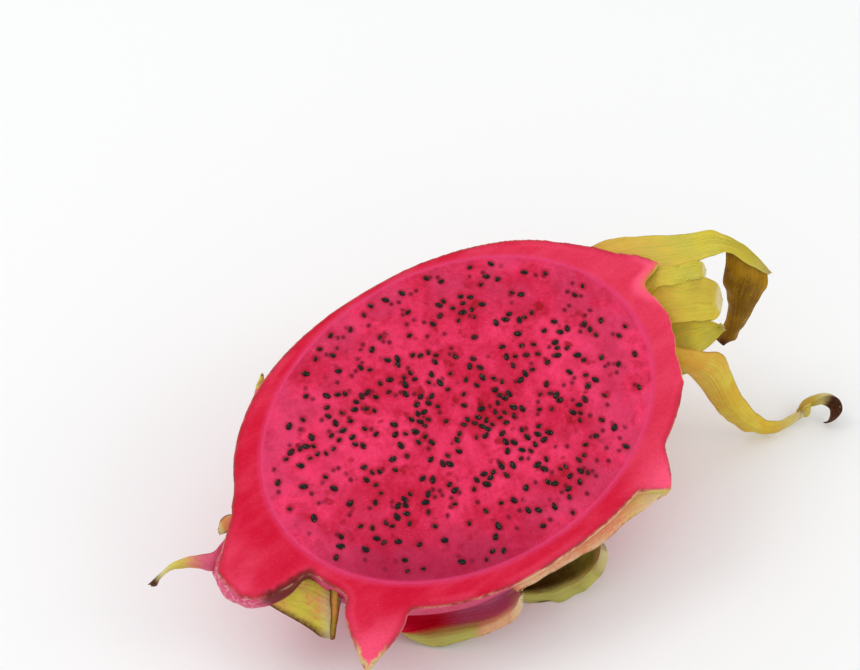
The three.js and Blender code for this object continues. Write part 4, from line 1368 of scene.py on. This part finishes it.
class AddPulp(bpy.types.Operator):
    """Adds the pulp and the seeds in its face."""

    bl_idname = "dragon_fruit.pulp"
    bl_label = "Pulp and seeds"

    def execute(self, context):
        places = seed_places()
        dress(make_pulp(places), pulp_finish(), "flesh", "flesh")
        dress(make_seeds(places), seed_finish(), "flesh")
        return {"FINISHED"}


class AddCrown(bpy.types.Operator):
    """Adds the withered crown leaves, the dry scales at the stem end and the rim's flaps."""

    bl_idname = "dragon_fruit.crown"
    bl_label = "Crown, dry scales and flaps"

    def execute(self, context):
        dress(make_crown(), leaf_finish("Leaf tuft finish"), "crown", "crown")
        dress(leaf_mesh("Dry_scales", DRY_TIPS, first_seed=60), leaf_finish("Dry scales finish"), "peel")
        dress(leaf_mesh("Rim_flaps", FLAPS, first_seed=70), leaf_finish("Rim flaps finish"), "peel")
        return {"FINISHED"}


def add_light(name, location, energy, size):
    """A square area lamp of that size that looks at the fruit."""
    lamp = bpy.data.lights.new(name, "AREA")
    lamp.energy = energy
    lamp.size = size
    thing = bpy.data.objects.new(name, lamp)
    bpy.context.scene.collection.objects.link(thing)
    thing.location = location
    thing.rotation_euler = (Vector(LIGHT_AIM) - Vector(location)).to_track_quat("-Z", "Y").to_euler()


class AddStage(bpy.types.Operator):
    """Adds the table, the light and the photograph's camera."""

    bl_idname = "dragon_fruit.stage"
    bl_label = "Table, light and camera"

    def execute(self, context):
        stage = settings().stage
        corners = np.array([(-1, -1, 0), (1, -1, 0), (1, 1, 0), (-1, 1, 0)]) * TABLE_HALF
        table = new_object("Table", new_mesh("Table", corners, [[0, 1, 2, 3]]), False)
        table.data.materials.append(table_finish())
        world = bpy.data.worlds.new("Studio")
        world.use_nodes = True
        background = world.node_tree.nodes["Background"]
        background.inputs["Color"].default_value = (1, 1, 1, 1)
        background.inputs["Strength"].default_value = stage.fill
        context.scene.world = world
        add_light("Key", (-0.65, 0.6, 1.1), stage.key, 0.6)
        add_light("Front", (0.7, -0.8, 0.9), 0.5 * stage.key, 0.5)
        context.scene.view_settings.view_transform = "Standard"
        add_camera(context)
        return {"FINISHED"}


def add_camera(context):
    """A camera whose ray through FACE_MIDDLE_PIXEL meets the middle of the cut face."""
    level = math.cos(CAMERA_HEIGHT)
    right = np.array([math.cos(CAMERA_TURN), -math.sin(CAMERA_TURN), 0])
    ahead = np.array([-right[1] * level, right[0] * level, -math.sin(CAMERA_HEIGHT)])
    up = np.cross(right, ahead)
    pixel = CAMERA_DISTANCE * SENSOR / (LENS * PHOTO_SIZE[0])
    across = (FACE_MIDDLE_PIXEL[0] - PHOTO_SIZE[0] / 2) * pixel
    upward = (PHOTO_SIZE[1] / 2 - FACE_MIDDLE_PIXEL[1]) * pixel
    offset = across * right + upward * up + CAMERA_DISTANCE * ahead
    camera = bpy.data.cameras.new("Camera")
    camera.lens = LENS
    camera.sensor_width = SENSOR
    camera.sensor_fit = "HORIZONTAL"
    camera.clip_start = 0.01
    thing = bpy.data.objects.new("Camera", camera)
    context.scene.collection.objects.link(thing)
    axes = Matrix([right, up, -ahead]).transposed()
    thing.matrix_world = Matrix.Translation(face_middle() - offset * MM) @ axes.to_4x4()
    context.scene.camera = thing


class DragonFruitPanel(bpy.types.Panel):
    """Lists the fruit's steps and settings."""

    bl_idname = "VIEW3D_PT_dragon_fruit"
    bl_label = "Dragon Fruit"
    bl_space_type = "VIEW_3D"
    bl_region_type = "UI"
    bl_category = "Dragon Fruit"

    def draw(self, context):
        for group in ("sizes", "seeds", "colours", "stage"):
            box = self.layout.box()
            values = getattr(context.scene.dragon_fruit, group)
            for name in values.bl_rna.properties.keys():
                if name not in {"rna_type", "name"}:
                    box.prop(values, name)
        for operator in OPERATORS:
            self.layout.operator(operator.bl_idname)


OPERATORS = (AddPeel, AddPulp, AddCrown, AddStage)
CLASSES = (FruitSizes, SeedSettings, FruitColours, StageSettings, DragonFruitSettings,
           *OPERATORS, DragonFruitPanel)


def register():
    for item in CLASSES:
        bpy.utils.register_class(item)
    bpy.types.Scene.dragon_fruit = bpy.props.PointerProperty(type=DragonFruitSettings)


def unregister():
    del bpy.types.Scene.dragon_fruit
    for item in reversed(CLASSES):
        bpy.utils.unregister_class(item)


def main():
    register()
    bpy.ops.dragon_fruit.peel()
    bpy.ops.dragon_fruit.pulp()
    bpy.ops.dragon_fruit.crown()
    bpy.ops.dragon_fruit.stage()


if __name__ == "__main__":
    main()
